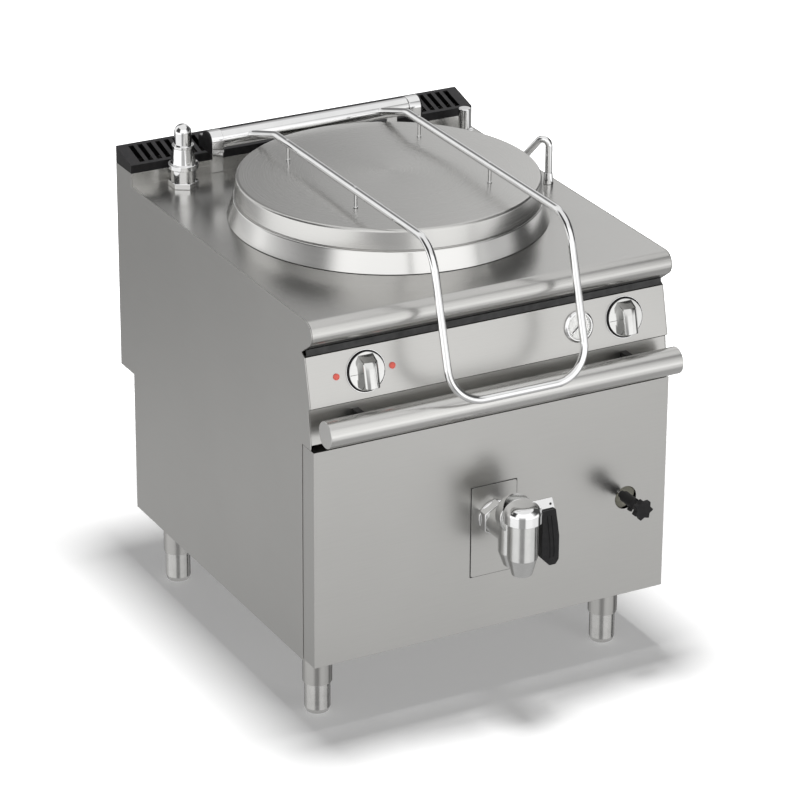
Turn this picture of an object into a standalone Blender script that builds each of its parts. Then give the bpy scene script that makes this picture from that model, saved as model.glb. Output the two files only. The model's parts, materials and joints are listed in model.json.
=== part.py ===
"""Steam jacketed kettle: a free-standing module with a round, steam heated vessel of about 150 litres.

The cabinet is drawn with the vessel's axis at X = 0, Y = 0, its front towards -Y and the floor at Z = 0.
One empty then moves the whole part along Y, so that the origin lies under the middle of its outline.
"""
import math

import bmesh
import bpy
from mathutils import Vector

MM = 0.001
DEGREE = math.pi / 180

# Clearances shared by all pieces
GAP = 0.3 * MM
OVERRUN = 20 * MM
SHEET = 2 * MM

# Facets of turned pieces, by size
WIDE_SIDES = 48
MIDDLE_SIDES = 24
SMALL_SIDES = 16
PIPE_SIDES = 8
ARC_STEPS = 3
FACET_CORNERS = 5

# Kettle: its vessel and the spaces round it set the cabinet's width and depth
VESSEL_RADIUS = 300 * MM
STEAM_SPACE = 40 * MM
INSULATION = 24 * MM
SIDE_AIR = 33.4 * MM
FRONT_AIR = 85.7 * MM
REAR_AIR = 20.7 * MM
JACKET_RADIUS = VESSEL_RADIUS + STEAM_SPACE
LAGGING_RADIUS = JACKET_RADIUS + GAP + INSULATION

# Cabinet
WORKTOP_Z = 870 * MM
BODY_BOTTOM_Z = 137 * MM
REAR_STEP_DEPTH = 65 * MM
REAR_STEP_Z = 445 * MM
TRAY_HEIGHT = 25 * MM

INNER_HALF = LAGGING_RADIUS + SIDE_AIR
HALF_WIDTH = INNER_HALF + GAP + SHEET
FRONT_Y = -LAGGING_RADIUS - FRONT_AIR
REAR_STEP_Y = LAGGING_RADIUS + REAR_AIR
REAR_Y = REAR_STEP_Y + REAR_STEP_DEPTH

# Front panel, a tray that opens to the rear
FRONT_PANEL_TOP_Z = 606 * MM
FRONT_PANEL_LIFT = 3 * MM
FRONT_PANEL_INSET = 1.5 * MM
FRONT_RETURN = 48 * MM
FRONT_RETURN_Y = FRONT_Y + FRONT_RETURN

# Round nose of the worktop
NOSE_RADIUS = 25.5 * MM
NOSE_SETBACK = 4.5 * MM
NOSE_DROP = 70 * MM
NOSE_HEM = 30 * MM
NOSE_STEPS = 12
NOSE_Y = FRONT_Y + NOSE_SETBACK + NOSE_RADIUS
NOSE_Z = WORKTOP_Z - NOSE_RADIUS
NOSE_TUCK_Z = WORKTOP_Z - NOSE_DROP

# Control panel and the fascia under it, both leaning back at the top
CONTROL_DROP = 8 * MM
CONTROL_SETBACK = 35 * MM
CONTROL_HEIGHT = 99 * MM
CONTROL_LEAN = 13.1 * DEGREE
CONTROL_HEM = 24 * MM
FASCIA_SETBACK = 8 * MM
FASCIA_DROP = 5 * MM
FASCIA_HEIGHT = 70 * MM
FASCIA_LEAN = 8 * DEGREE
FASCIA_SIDE_GAP = 2 * MM
CONTROL_TOP_Z = NOSE_TUCK_Z - CONTROL_DROP
CONTROL_TOP_Y = FRONT_Y + CONTROL_SETBACK
CONTROL_BOTTOM_Z = CONTROL_TOP_Z - CONTROL_HEIGHT
CONTROL_BOTTOM_Y = CONTROL_TOP_Y - CONTROL_HEIGHT * math.tan(CONTROL_LEAN)
FASCIA_TOP_Z = CONTROL_BOTTOM_Z - FASCIA_DROP
FASCIA_TOP_Y = CONTROL_BOTTOM_Y + FASCIA_SETBACK
FASCIA_BOTTOM_Z = FASCIA_TOP_Z - FASCIA_HEIGHT
FASCIA_BOTTOM_Y = FASCIA_TOP_Y - FASCIA_HEIGHT * math.tan(FASCIA_LEAN)

# Flue riser and its grille
RISER_DEPTH = 75 * MM
RISER_HEIGHT = 28.5 * MM
RISER_HEM = 10 * MM
GRILLE_FRONT_HEIGHT = 17.5 * MM
GRILLE_REAR_HEIGHT = 37 * MM
GRILLE_WALL = 3 * MM
GRILLE_INSET = 0.5 * MM
SLOT_PITCH = 20 * MM
SLOT_WIDTH = 11 * MM
SLOT_MARGIN = 8 * MM
RISER_Y = REAR_Y - RISER_DEPTH
RISER_TOP_Z = WORKTOP_Z + RISER_HEIGHT
GRILLE_Z = RISER_TOP_Z + GAP
GRILLE_FRONT_TOP_Z = GRILLE_Z + GRILLE_FRONT_HEIGHT
GRILLE_REAR_TOP_Z = GRILLE_Z + GRILLE_REAR_HEIGHT

# Vents of the upper rear panel
VENT_COUNT = 9
VENT_PITCH = 24 * MM
VENT_LENGTH = 260 * MM
VENT_HEIGHT = 8 * MM
VENT_TOP_Z = 780 * MM

# Vessel, its collar on the worktop, its jacket and insulation
VESSEL_WALL = 2.5 * MM
VESSEL_KNUCKLE = 30 * MM
VESSEL_DISH = 3 * MM
RIM_REACH = 13 * MM
COLLAR_HEIGHT = 43 * MM
COLLAR_WALL = 2.5 * MM
COLLAR_FOOT_REACH = 27 * MM
COLLAR_TOP_REACH = 14.5 * MM
COLLAR_EDGE = 2.5 * MM
COLLAR_LIP_REACH = 5.5 * MM
COLLAR_LIP_DEPTH = 12 * MM
COLLAR_FOOT_LIFT = 0.7 * MM
WORKTOP_HOLE_MARGIN = 7 * MM
JACKET_WALL = 2 * MM
JACKET_KNUCKLE = 30 * MM
JACKET_FLOOR_SPACE = 45 * MM
JACKET_TOP_Z = 800 * MM
JACKET_SHOULDER = 25 * MM
JACKET_LIP = 12 * MM
INSULATION_TOP_Z = 720 * MM
COLLAR_FOOT_RADIUS = VESSEL_RADIUS + COLLAR_FOOT_REACH
COLLAR_TOP_RADIUS = VESSEL_RADIUS + COLLAR_TOP_REACH
COLLAR_LIP_RADIUS = VESSEL_RADIUS + COLLAR_LIP_REACH
COLLAR_TOP_Z = WORKTOP_Z + GAP + COLLAR_HEIGHT
RIM_UNDER_Z = COLLAR_TOP_Z + GAP
RIM_TOP_Z = RIM_UNDER_Z + VESSEL_WALL

# Drain: pipe, back plate, nut, tap body and its rotating head
DRAIN_Z = 386 * MM
DRAIN_BORE = 20 * MM
DRAIN_PIPE_RADIUS = 24 * MM
DRAIN_PLATE_WIDTH = 102 * MM
DRAIN_PLATE_HEIGHT = 196 * MM
DRAIN_PLATE_DROP = 28 * MM
DRAIN_PLATE_THICKNESS = 1.5 * MM
DRAIN_PLATE_CORNER = 5 * MM
NUT_RADIUS = 36 * MM
NUT_LENGTH = 22 * MM
NECK_RADIUS = 31 * MM
TAP_REACH = 116 * MM
TAP_RADIUS = 31.4 * MM
TAP_TAPER_Z = 346 * MM
TAP_BOTTOM_Z = 309 * MM
TAP_REAR_BOTTOM_Z = 316 * MM
TAP_OUTLET_RADIUS = 21 * MM
TAP_OUTLET_WALL = 3 * MM
TAP_REAR_OFFSET = 34 * MM
TAP_TOP_Z = 424 * MM
SHOULDER_RADIUS = 40 * MM
SHOULDER_Z = 427 * MM
SHOULDER_LENGTH = 26 * MM
SHOULDER_OFFSET = 45 * MM
PLUG_RADIUS = 20 * MM
PLUG_TIP_RADIUS = 17 * MM
PLUG_LENGTH = 62 * MM
CAP_RADIUS = 38.5 * MM
CAP_BAND = 17 * MM
CAP_RISE = 37.5 * MM
CAP_TOP_RADIUS = 18.5 * MM
LEVER_START = 20 * MM
LEVER_REACH = 70 * MM
LEVER_END_SLOPE = 6.5 * MM
LEVER_HEIGHT = 24.4 * MM
LEVER_THICKNESS = 5 * MM
LEVER_LIFT = 14.3 * MM
GRIP_THICKNESS = 16 * MM
GRIP_DROP = 121 * MM
GRIP_TOP_WIDTH = 30 * MM
GRIP_BULGE = 9 * MM
GRIP_TOE = 10 * MM
DRAIN_PANEL_RADIUS = DRAIN_PIPE_RADIUS + GAP
VESSEL_FLOOR_Z = DRAIN_Z - DRAIN_BORE - SHEET
TAP_Y = FRONT_Y - TAP_REACH
JACKET_FLOOR_Z = VESSEL_FLOOR_Z - VESSEL_WALL - JACKET_FLOOR_SPACE

# Heater in the bottom of the jacket
HEATER_NECK_RADIUS = 22 * MM
HEATER_NECK_WALL = 2 * MM
HEATER_NECK_REACH = 10 * MM
HEATER_NECK_ENTRY = 18 * MM
HEATER_PLATE_RADIUS = 30 * MM
HEATER_PLATE_THICKNESS = 6 * MM
HEATER_HEAD_RADIUS = 24 * MM
HEATER_HEAD_LENGTH = 20 * MM
HEATER_RADIUS = 3.25 * MM
HEATER_PITCH = 11 * MM
HEATER_HALF_RISE = 6.5 * MM
HEATER_LENGTH = 480 * MM
HEATER_LOOPS = 3
HEATER_Z = JACKET_FLOOR_Z + JACKET_KNUCKLE
HEATER_FACE_Y = JACKET_RADIUS + HEATER_NECK_REACH

# Pipes inside the cabinet
STEAM_PIPE_RADIUS = 9 * MM
INNER_PIPE_Z = 750 * MM
PIPE_BEND = 30 * MM
WATER_PIPE_RADIUS = 6 * MM
WATER_PIPE_Z = 810 * MM
LEVEL_PIPE_RADIUS = 4.5 * MM

# Jacket level cock
LEVEL_INSET = 48 * MM
LEVEL_Z = 371.5 * MM
LEVEL_HOLE_RADIUS = 24.8 * MM
LEVEL_HOLE_SHIFT = 14 * MM
LEVEL_HOLE_DROP = 13.5 * MM
LEVEL_X = JACKET_RADIUS - LEVEL_INSET
LEVEL_HOLE_X = LEVEL_X + LEVEL_HOLE_SHIFT
LEVEL_HOLE_Z = LEVEL_Z - LEVEL_HOLE_DROP
LEVEL_BODY_OFFSET = 6 * MM
LEVEL_BODY_LENGTH = 74 * MM
LEVEL_BODY_RADIUS = 11.5 * MM
LEVEL_SPOUT_RADIUS = 5.5 * MM
LEVEL_SPOUT_LENGTH = 18 * MM
LEVEL_SPOUT_OFFSET = 46 * MM
LEVEL_SPOUT_TILT = 30 * DEGREE
STAR_RADIUS = 22.5 * MM
STAR_VALLEY_RADIUS = 16.5 * MM
STAR_THICKNESS = 13 * MM
STAR_POINTS = 7

# Front rail and its brackets
RAIL_RADIUS = 27.5 * MM
RAIL_END_INSET = 8 * MM
RAIL_OFFSET = 36 * MM
RAIL_Z = 658 * MM
RAIL_BRACKET_WIDTH = 14 * MM
RAIL_BRACKET_HEIGHT = 34 * MM
RAIL_BRACKET_INSET = 92 * MM
RAIL_HALF_LENGTH = HALF_WIDTH - RAIL_END_INSET
RAIL_BRACKET_X = RAIL_HALF_LENGTH - RAIL_BRACKET_INSET
RAIL_Y = FRONT_Y - RAIL_OFFSET

# Knobs, lamps and gauge on the control panel
DIAL_ROW_Z = 745 * MM
KNOB_LEFT_INSET = 126 * MM
KNOB_RIGHT_INSET = 96.5 * MM
KNOB_LEFT_X = KNOB_LEFT_INSET - HALF_WIDTH
KNOB_RIGHT_X = HALF_WIDTH - KNOB_RIGHT_INSET
BEZEL_RADIUS = 42.5 * MM
BEZEL_THICKNESS = 2.5 * MM
BEZEL_BORE = 12 * MM
KNOB_RADIUS = 40 * MM
KNOB_BASE = 4 * MM
KNOB_EDGE = 1.5 * MM
GRIP_HEIGHT = 25 * MM
GRIP_HALF_WIDTH = 16 * MM
GRIP_SLOPE = 12 * MM
SHAFT_RADIUS = 3 * MM
SHAFT_LENGTH = 26 * MM
SHAFT_HOLE_RADIUS = 5 * MM
SWITCH_SIZE = 42 * MM
SWITCH_DEPTH = 34 * MM
LAMP_MIDDLE_SHIFT = 3 * MM
LAMP_MIDDLE_X = KNOB_LEFT_X - LAMP_MIDDLE_SHIFT
LAMP_SPACING = 60.5 * MM
LAMP_RADIUS = 6.5 * MM
LAMP_RISE = 3.5 * MM
LAMP_BODY_RADIUS = 5 * MM
LAMP_BODY_LENGTH = 22 * MM
GAUGE_SPACING = 104.5 * MM
GAUGE_X = KNOB_RIGHT_X - GAUGE_SPACING
GAUGE_BEZEL_RADIUS = 32.5 * MM
GAUGE_BEZEL_RISE = 6 * MM
GAUGE_BODY_RADIUS = 28.5 * MM
GAUGE_BODY_DEPTH = 26 * MM
GAUGE_WALL = 2 * MM
GAUGE_RECESS = 7 * MM
DIAL_THICKNESS = 1.2 * MM
GLASS_THICKNESS = 1.5 * MM
NEEDLE_LENGTH = 19 * MM
NEEDLE_TAIL = 6 * MM
NEEDLE_WIDTH = 2.4 * MM
NEEDLE_THICKNESS = 0.8 * MM
NEEDLE_HUB_RADIUS = 2.5 * MM
NEEDLE_CLEARANCE = 0.6 * MM
NEEDLE_REST = 215 * DEGREE

# Lid with its handle and hinge
LID_REACH = 11.5 * MM
LID_RADIUS = VESSEL_RADIUS + LID_REACH
LID_WALL = 2 * MM
LID_SKIRT_TAPER = 3 * MM
LID_SKIRT_TOP_RADIUS = LID_RADIUS - LID_SKIRT_TAPER
LID_SKIRT_HEIGHT = 33 * MM
LID_EDGE = 8 * MM
LID_RING_INSET = 30 * MM
LID_RING_RADIUS = VESSEL_RADIUS - LID_RING_INSET
LID_RING_RISE = 2.7 * MM
LID_CROWN = 5 * MM
HINGE_SETBACK = 40 * MM
HINGE_Y = RISER_Y - HINGE_SETBACK
HINGE_Z = 958 * MM
HINGE_TUBE_RADIUS = 19 * MM
HINGE_TUBE_INSET = 183.5 * MM
HINGE_TUBE_HALF = HALF_WIDTH - HINGE_TUBE_INSET
HINGE_PIN_RADIUS = 8 * MM
HINGE_PIN_LENGTH = 20 * MM
BRACKET_RADIUS = 21.5 * MM
BRACKET_WIDTH = 26.5 * MM
BRACKET_DROP = 23 * MM
BRACKET_END_ANGLE = 12 * DEGREE
BRACKET_REAR_RISE = 3 * MM
STRAP_WIDTH = 25 * MM
STRAP_THICKNESS = 4 * MM
HINGE_CAP_THICKNESS = 3 * MM
HANDLE_RADIUS = 8 * MM
HANDLE_SIDES = 10
HANDLE_INSET = 65.5 * MM
HANDLE_HALF_WIDTH = HINGE_TUBE_HALF - HANDLE_INSET
HANDLE_Z = 997.5 * MM
HANDLE_SLOPE_RUN = 130 * MM
HANDLE_FRONT_REACH = 8 * MM
HANDLE_SLOPE_Y = HINGE_Y - HANDLE_SLOPE_RUN
HANDLE_FRONT_Y = FRONT_Y - HANDLE_FRONT_REACH
HANDLE_BEND = 70 * MM
HANDLE_LOW_REACH = 98 * MM
HANDLE_LOW_Y = FRONT_Y - HANDLE_LOW_REACH
HANDLE_LOW_Z = 694 * MM
HANDLE_LOW_BEND = 72 * MM
STUD_RADIUS = 5 * MM
STUD_REAR_Y = 152 * MM
STUD_FRONT_Y = -146 * MM
LID_SKIRT_Z = RIM_TOP_Z + GAP

# Safety valve
VALVE_SIDE_INSET = 100 * MM
VALVE_SETBACK = 40 * MM
VALVE_X = VALVE_SIDE_INSET - HALF_WIDTH
VALVE_Y = RISER_Y - VALVE_SETBACK
VALVE_HEX_RADIUS = 31.6 * MM
VALVE_HEX_HEIGHT = 12 * MM
VALVE_WAIST_RADIUS = 26 * MM
VALVE_WAIST_HEIGHT = 28 * MM
VALVE_RING_HEIGHT = 10 * MM
VALVE_CONE_RADIUS = 26.5 * MM
VALVE_CONE_TOP_RADIUS = 21.5 * MM
VALVE_CONE_HEIGHT = 34.3 * MM
VALVE_COLLAR_RADIUS = 23 * MM
VALVE_COLLAR_HEIGHT = 6 * MM
VALVE_BULB_RADIUS = 18 * MM
VALVE_BULB_HEIGHT = 44 * MM

# Filler and vent column
FILLER_SIDE_INSET = 48 * MM
FILLER_SETBACK = 55 * MM
FILLER_X = HALF_WIDTH - FILLER_SIDE_INSET
FILLER_Y = RISER_Y - FILLER_SETBACK
FILLER_BASE_RADIUS = 14 * MM
FILLER_BASE_HEIGHT = 6 * MM
FILLER_STEM_RADIUS = 8 * MM
FILLER_STEM_HEIGHT = 16 * MM
FILLER_CAP_RADIUS = 13.2 * MM
FILLER_CAP_HEIGHT = 44 * MM
FILLER_SIDE_RADIUS = 5 * MM
FILLER_SIDE_REACH = 20 * MM

# Water spout
SPOUT_SIDE_INSET = 25 * MM
SPOUT_X = HALF_WIDTH - SPOUT_SIDE_INSET
SPOUT_Y = 3 * MM
SPOUT_BASE_RADIUS = 11 * MM
SPOUT_BASE_TOP_RADIUS = 8.5 * MM
SPOUT_BASE_HEIGHT = 24 * MM
SPOUT_RADIUS = 7.5 * MM
SPOUT_BORE = 5.5 * MM
SPOUT_SIDES = 10
SPOUT_APEX_Z = 989 * MM
SPOUT_RUN = 72.4 * MM
SPOUT_END_Z = 897.6 * MM
SPOUT_BEND = 13 * MM
SPOUT_TURN = 133 * DEGREE

# Feet: a sleeve under the base tray, and an adjustable foot in it
FOOT_LEFT_INSET = 49 * MM
FOOT_RIGHT_INSET = 91 * MM
FOOT_FRONT_INSET = 82 * MM
FOOT_REAR_INSET = 162 * MM
FOOT_LEFT_X = FOOT_LEFT_INSET - HALF_WIDTH
FOOT_RIGHT_X = HALF_WIDTH - FOOT_RIGHT_INSET
FOOT_FRONT_Y = FRONT_Y + FOOT_FRONT_INSET
FOOT_REAR_Y = REAR_Y - FOOT_REAR_INSET
SLEEVE_RADIUS = 30 * MM
SLEEVE_BOTTOM_Z = 66 * MM
SLEEVE_BORE = 14 * MM
FOOT_RADIUS = 26 * MM
FOOT_TOE_RADIUS = 23 * MM
FOOT_TOE_HEIGHT = 9 * MM
FOOT_STEM_RADIUS = 13 * MM
FOOT_STEM_LENGTH = 62 * MM

# The row's origin lies under the middle of the outline, between the tap head and the rear face
ROW_SHIFT = (CAP_RADIUS - TAP_Y - REAR_Y) / 2


def clear_scene():
    for item in list(bpy.data.objects):
        bpy.data.objects.remove(item)


def make_material(name, colour, roughness, metallic):
    material = bpy.data.materials.new(name)
    material.use_nodes = True
    shader = material.node_tree.nodes["Principled BSDF"]
    shader.inputs["Base Color"].default_value = (*colour, 1)
    shader.inputs["Roughness"].default_value = roughness
    shader.inputs["Metallic"].default_value = metallic
    return material


clear_scene()
brushed_steel = make_material("brushed_steel", (0.62, 0.61, 0.59), 0.35, 1)
chrome = make_material("chrome", (0.83, 0.83, 0.84), 0.08, 1)
black_plastic = make_material("black_plastic", (0.02, 0.02, 0.022), 0.45, 0)
red_lens = make_material("red_lens", (0.75, 0.06, 0.05), 0.25, 0)
white_dial = make_material("white_dial", (0.9, 0.9, 0.88), 0.5, 0)
clear_glass = make_material("clear_glass", (0.95, 0.97, 0.97), 0.03, 0)
glass_wool = make_material("glass_wool", (0.72, 0.7, 0.62), 0.9, 0)
dark_metal = make_material("dark_metal", (0.2, 0.2, 0.2), 0.5, 1)

row = bpy.data.objects.new("row_frame", None)
row.location = (0, ROW_SHIFT, 0)
bpy.context.scene.collection.objects.link(row)


# Shapes, all drawn in the cabinet's frame

def closed(mesh):
    """Turns every face outwards and returns the mesh."""
    bmesh.ops.recalc_face_normals(mesh, faces=mesh.faces)
    return mesh


def arc(centre, radius, start, end, steps):
    """Points of an arc in a plane, from one angle to another."""
    points = []
    for step in range(steps + 1):
        angle = start + (end - start) * step / steps
        points.append((centre[0] + radius * math.cos(angle), centre[1] + radius * math.sin(angle)))
    return points


def sheet(path, thickness):
    """Outline of a bent sheet: the path is one face, and the other lies to its right."""
    normals = []
    for first, second in zip(path, path[1:]):
        run = (Vector(second) - Vector(first)).normalized()
        normals.append(Vector((run.y, -run.x)))
    offset = []
    for index, point in enumerate(path):
        before = normals[max(index - 1, 0)]
        after = normals[min(index, len(normals) - 1)]
        mitre = (before + after) / (1 + before.dot(after))
        offset.append(tuple(Vector(point) + mitre * thickness))
    return list(path) + offset[::-1]


def prism(outline, low, high, axis):
    """Extrudes an outline along an axis: its two coordinates are the other axes, in the order X, Y, Z."""
    mesh = bmesh.new()
    rings = []
    for level in (low, high):
        ring = []
        for first, second in outline:
            place = {"X": (level, first, second), "Y": (first, level, second), "Z": (first, second, level)}
            ring.append(mesh.verts.new(place[axis]))
        rings.append(ring)
    count = len(outline)
    mesh.faces.new(rings[0])
    mesh.faces.new(rings[1])
    for index in range(count):
        follower = (index + 1) % count
        mesh.faces.new((rings[0][index], rings[0][follower], rings[1][follower], rings[1][index]))
    return closed(mesh)


def box(low, high):
    outline = [(low[0], low[1]), (high[0], low[1]), (high[0], high[1]), (low[0], high[1])]
    return prism(outline, low[2], high[2], "Z")


def turned(profile, sides, centre, direction):
    """Turns a closed profile of (radius, height) points about an axis from the centre in the direction."""
    mesh = bmesh.new()
    rings = []
    for radius, height in profile:
        if radius == 0:
            rings.append([mesh.verts.new((0, 0, height))] * sides)
            continue
        ring = []
        for side in range(sides):
            angle = 2 * math.pi * (side + 0.5) / sides
            ring.append(mesh.verts.new((radius * math.cos(angle), radius * math.sin(angle), height)))
        rings.append(ring)
    for index, ring in enumerate(rings):
        after = rings[(index + 1) % len(rings)]
        for side in range(sides):
            follower = (side + 1) % sides
            corners = dict.fromkeys((ring[side], ring[follower], after[follower], after[side]))
            if len(corners) > 2:
                mesh.faces.new(list(corners))
    return aimed(closed(mesh), centre, direction)


def aimed(mesh, centre, direction):
    """Turns a shape drawn along Z to a direction, and moves it to a centre."""
    turn = Vector((0, 0, 1)).rotation_difference(Vector(direction)).to_matrix()
    bmesh.ops.transform(mesh, matrix=turn.to_4x4(), verts=mesh.verts)
    bmesh.ops.translate(mesh, vec=Vector(centre), verts=mesh.verts)
    return mesh


def disc(radius, low, high, sides, centre, direction):
    return turned([(0, low), (radius, low), (radius, high), (0, high)], sides, centre, direction)


def ring_disc(inner, outer, low, high, sides, centre, direction):
    return turned([(inner, low), (outer, low), (outer, high), (inner, high)], sides, centre, direction)


def rounded_path(corners, bends, steps):
    """A route of straight runs whose corners are rounded, one bend radius for each inner corner."""
    points = [Vector(corners[0])]
    for before, corner, after, bend in zip(corners, corners[1:], corners[2:], bends):
        corner = Vector(corner)
        back = (Vector(before) - corner).normalized()
        ahead = (Vector(after) - corner).normalized()
        half = back.angle(ahead) / 2
        middle = (back + ahead).normalized()
        centre = corner + middle * bend / math.sin(half)
        reach = bend / math.tan(half)
        first = corner + back * reach - centre
        last = corner + ahead * reach - centre
        sweep = first.angle(last)
        for step in range(steps + 1):
            share = step / steps
            start_part = first * math.sin(sweep * (1 - share))
            end_part = last * math.sin(sweep * share)
            points.append(centre + (start_part + end_part) / math.sin(sweep))
    points.append(Vector(corners[-1]))
    return points


def swept(path, radius, sides):
    """A round bar along a route, with flat ends."""
    mesh = bmesh.new()
    rings = []
    normal = None
    for index, point in enumerate(path):
        ahead = path[min(index + 1, len(path) - 1)] - point
        behind = point - path[max(index - 1, 0)]
        run = (ahead.normalized() + behind.normalized()).normalized()
        if normal is None:
            normal = run.orthogonal().normalized()
        normal = (normal - run * normal.dot(run)).normalized()
        across = run.cross(normal)
        ring = []
        for side in range(sides):
            angle = 2 * math.pi * side / sides
            spoke = normal * math.cos(angle) + across * math.sin(angle)
            ring.append(mesh.verts.new(point + spoke * radius))
        rings.append(ring)
    mesh.faces.new(rings[0])
    mesh.faces.new(rings[-1])
    for ring, after in zip(rings, rings[1:]):
        for side in range(sides):
            follower = (side + 1) % sides
            mesh.faces.new((ring[side], ring[follower], after[follower], after[side]))
    return closed(mesh)


def add(name, mesh, material, origin=(0, 0, 0), round_angle=35 * DEGREE):
    """Makes a named piece from a shape, with its origin at a point of the cabinet's frame."""
    bmesh.ops.translate(mesh, vec=-Vector(origin), verts=mesh.verts)
    data = bpy.data.meshes.new(name)
    mesh.to_mesh(data)
    mesh.free()
    data.materials.append(material)
    data.shade_smooth()
    data.set_sharp_from_angle(angle=round_angle)
    piece = bpy.data.objects.new(name, data)
    piece.location = origin
    piece.parent = row
    bpy.context.scene.collection.objects.link(piece)
    return piece


def shaped(piece, operation, tools):
    """Cuts tools from a piece, or joins them to it, with one Boolean each."""
    for index, mesh in enumerate(tools):
        tool = add(f"{piece.name}_{operation.lower()}_{index}", mesh, piece.data.materials[0])
        tool.hide_render = True
        tool.display_type = "WIRE"
        change = piece.modifiers.new(tool.name, "BOOLEAN")
        change.operation = operation
        change.solver = "EXACT"
        change.object = tool
        piece.modifiers.new(f"{tool.name}_facets", "TRIANGULATE").min_vertices = FACET_CORNERS
    return piece


def cut(piece, *tools):
    return shaped(piece, "DIFFERENCE", tools)


def join(piece, *tools):
    return shaped(piece, "UNION", tools)


UP = (0, 0, 1)
DOWN = (0, 0, -1)
FORWARD = (0, -1, 0)
BACK = (0, 1, 0)
RIGHT = (1, 0, 0)
PANEL_NORMAL = (0, -math.cos(CONTROL_LEAN), math.sin(CONTROL_LEAN))


def control_point(across, height):
    """A point on the face of the control panel."""
    return (across, CONTROL_TOP_Y - (CONTROL_TOP_Z - height) * math.tan(CONTROL_LEAN), height)


def nose_outline():
    """The worktop's round nose in Y and Z, from its tuck under the front to the flat top."""
    tuck = Vector((FRONT_RETURN_Y, NOSE_TUCK_Z))
    spoke = tuck - Vector((NOSE_Y, NOSE_Z))
    tangent = math.atan2(spoke.y, spoke.x) - math.acos(NOSE_RADIUS / spoke.length)
    around = arc((NOSE_Y, NOSE_Z), NOSE_RADIUS, tangent + 2 * math.pi, math.pi / 2, NOSE_STEPS)
    return [tuple(tuck)] + around


# Cabinet

def side_outline():
    """The side of the cabinet in Y and Z."""
    shelf_z = FRONT_PANEL_TOP_Z + FASCIA_SIDE_GAP
    outline = [
        (FRONT_RETURN_Y, BODY_BOTTOM_Z),
        (FRONT_RETURN_Y, shelf_z),
        (FASCIA_BOTTOM_Y, shelf_z),
        (FASCIA_BOTTOM_Y, FASCIA_BOTTOM_Z),
        (FASCIA_TOP_Y, FASCIA_TOP_Z),
        (CONTROL_BOTTOM_Y, CONTROL_BOTTOM_Z),
        (CONTROL_TOP_Y, CONTROL_TOP_Z),
    ]
    outline += nose_outline()
    outline += [
        (RISER_Y, WORKTOP_Z),
        (RISER_Y, RISER_TOP_Z),
        (REAR_Y, RISER_TOP_Z),
        (REAR_Y, REAR_STEP_Z),
        (REAR_STEP_Y, REAR_STEP_Z),
        (REAR_STEP_Y, BODY_BOTTOM_Z),
    ]
    return outline


def build_side_panels():
    outline = side_outline()
    add("side_panel_left", prism(outline, -HALF_WIDTH, -HALF_WIDTH + SHEET, "X"), brushed_steel)
    add("side_panel_right", prism(outline, HALF_WIDTH - SHEET, HALF_WIDTH, "X"), brushed_steel)


def foot_places():
    places = {}
    for side, across in (("left", FOOT_LEFT_X), ("right", FOOT_RIGHT_X)):
        for end, along in (("front", FOOT_FRONT_Y), ("rear", FOOT_REAR_Y)):
            places[f"{end}_{side}"] = (across, along, 0)
    return places


def build_base_tray():
    front = FRONT_RETURN_Y + GAP
    rear = REAR_STEP_Y - SHEET - GAP
    top = BODY_BOTTOM_Z + TRAY_HEIGHT
    tray = add("base_tray", box((-INNER_HALF, front, BODY_BOTTOM_Z), (INNER_HALF, rear, top)), brushed_steel)
    inside = box(
        (-INNER_HALF + SHEET, front + SHEET, BODY_BOTTOM_Z + SHEET),
        (INNER_HALF - SHEET, rear - SHEET, top + OVERRUN),
    )
    cut(tray, inside)
    join(tray, *[
        disc(SLEEVE_RADIUS, SLEEVE_BOTTOM_Z, BODY_BOTTOM_Z + SHEET / 2, SMALL_SIDES, place, UP)
        for place in foot_places().values()
    ])
    cut(tray, *[
        disc(SLEEVE_BORE, SLEEVE_BOTTOM_Z - OVERRUN, BODY_BOTTOM_Z + OVERRUN, SMALL_SIDES, place, UP)
        for place in foot_places().values()
    ])


def build_feet():
    sole_to_stem = [
        (0, 0),
        (FOOT_TOE_RADIUS, 0),
        (FOOT_RADIUS, FOOT_TOE_HEIGHT),
        (FOOT_RADIUS, SLEEVE_BOTTOM_Z - GAP),
        (FOOT_STEM_RADIUS, SLEEVE_BOTTOM_Z - GAP),
        (FOOT_STEM_RADIUS, SLEEVE_BOTTOM_Z + FOOT_STEM_LENGTH),
        (0, SLEEVE_BOTTOM_Z + FOOT_STEM_LENGTH),
    ]
    for name, place in foot_places().items():
        add(f"foot_{name}", turned(sole_to_stem, SMALL_SIDES, place, UP), brushed_steel, place)


def build_rear_panels():
    step_face = REAR_STEP_Z + GAP
    lower = [
        (REAR_Y - SHEET - GAP, REAR_STEP_Z),
        (REAR_STEP_Y, REAR_STEP_Z),
        (REAR_STEP_Y, BODY_BOTTOM_Z),
    ]
    add("rear_panel_lower", prism(sheet(lower, SHEET), -INNER_HALF, INNER_HALF, "X"), brushed_steel)
    upper_low = (-INNER_HALF, REAR_Y - SHEET, step_face)
    upper = add("rear_panel_upper", box(upper_low, (INNER_HALF, REAR_Y, RISER_TOP_Z)), brushed_steel)
    vents = []
    for row_index in range(VENT_COUNT):
        top = VENT_TOP_Z - row_index * VENT_PITCH
        low = (-VENT_LENGTH / 2, REAR_Y - OVERRUN, top - VENT_HEIGHT)
        vents.append(box(low, (VENT_LENGTH / 2, REAR_Y + OVERRUN, top)))
    cut(upper, *vents)


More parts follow.
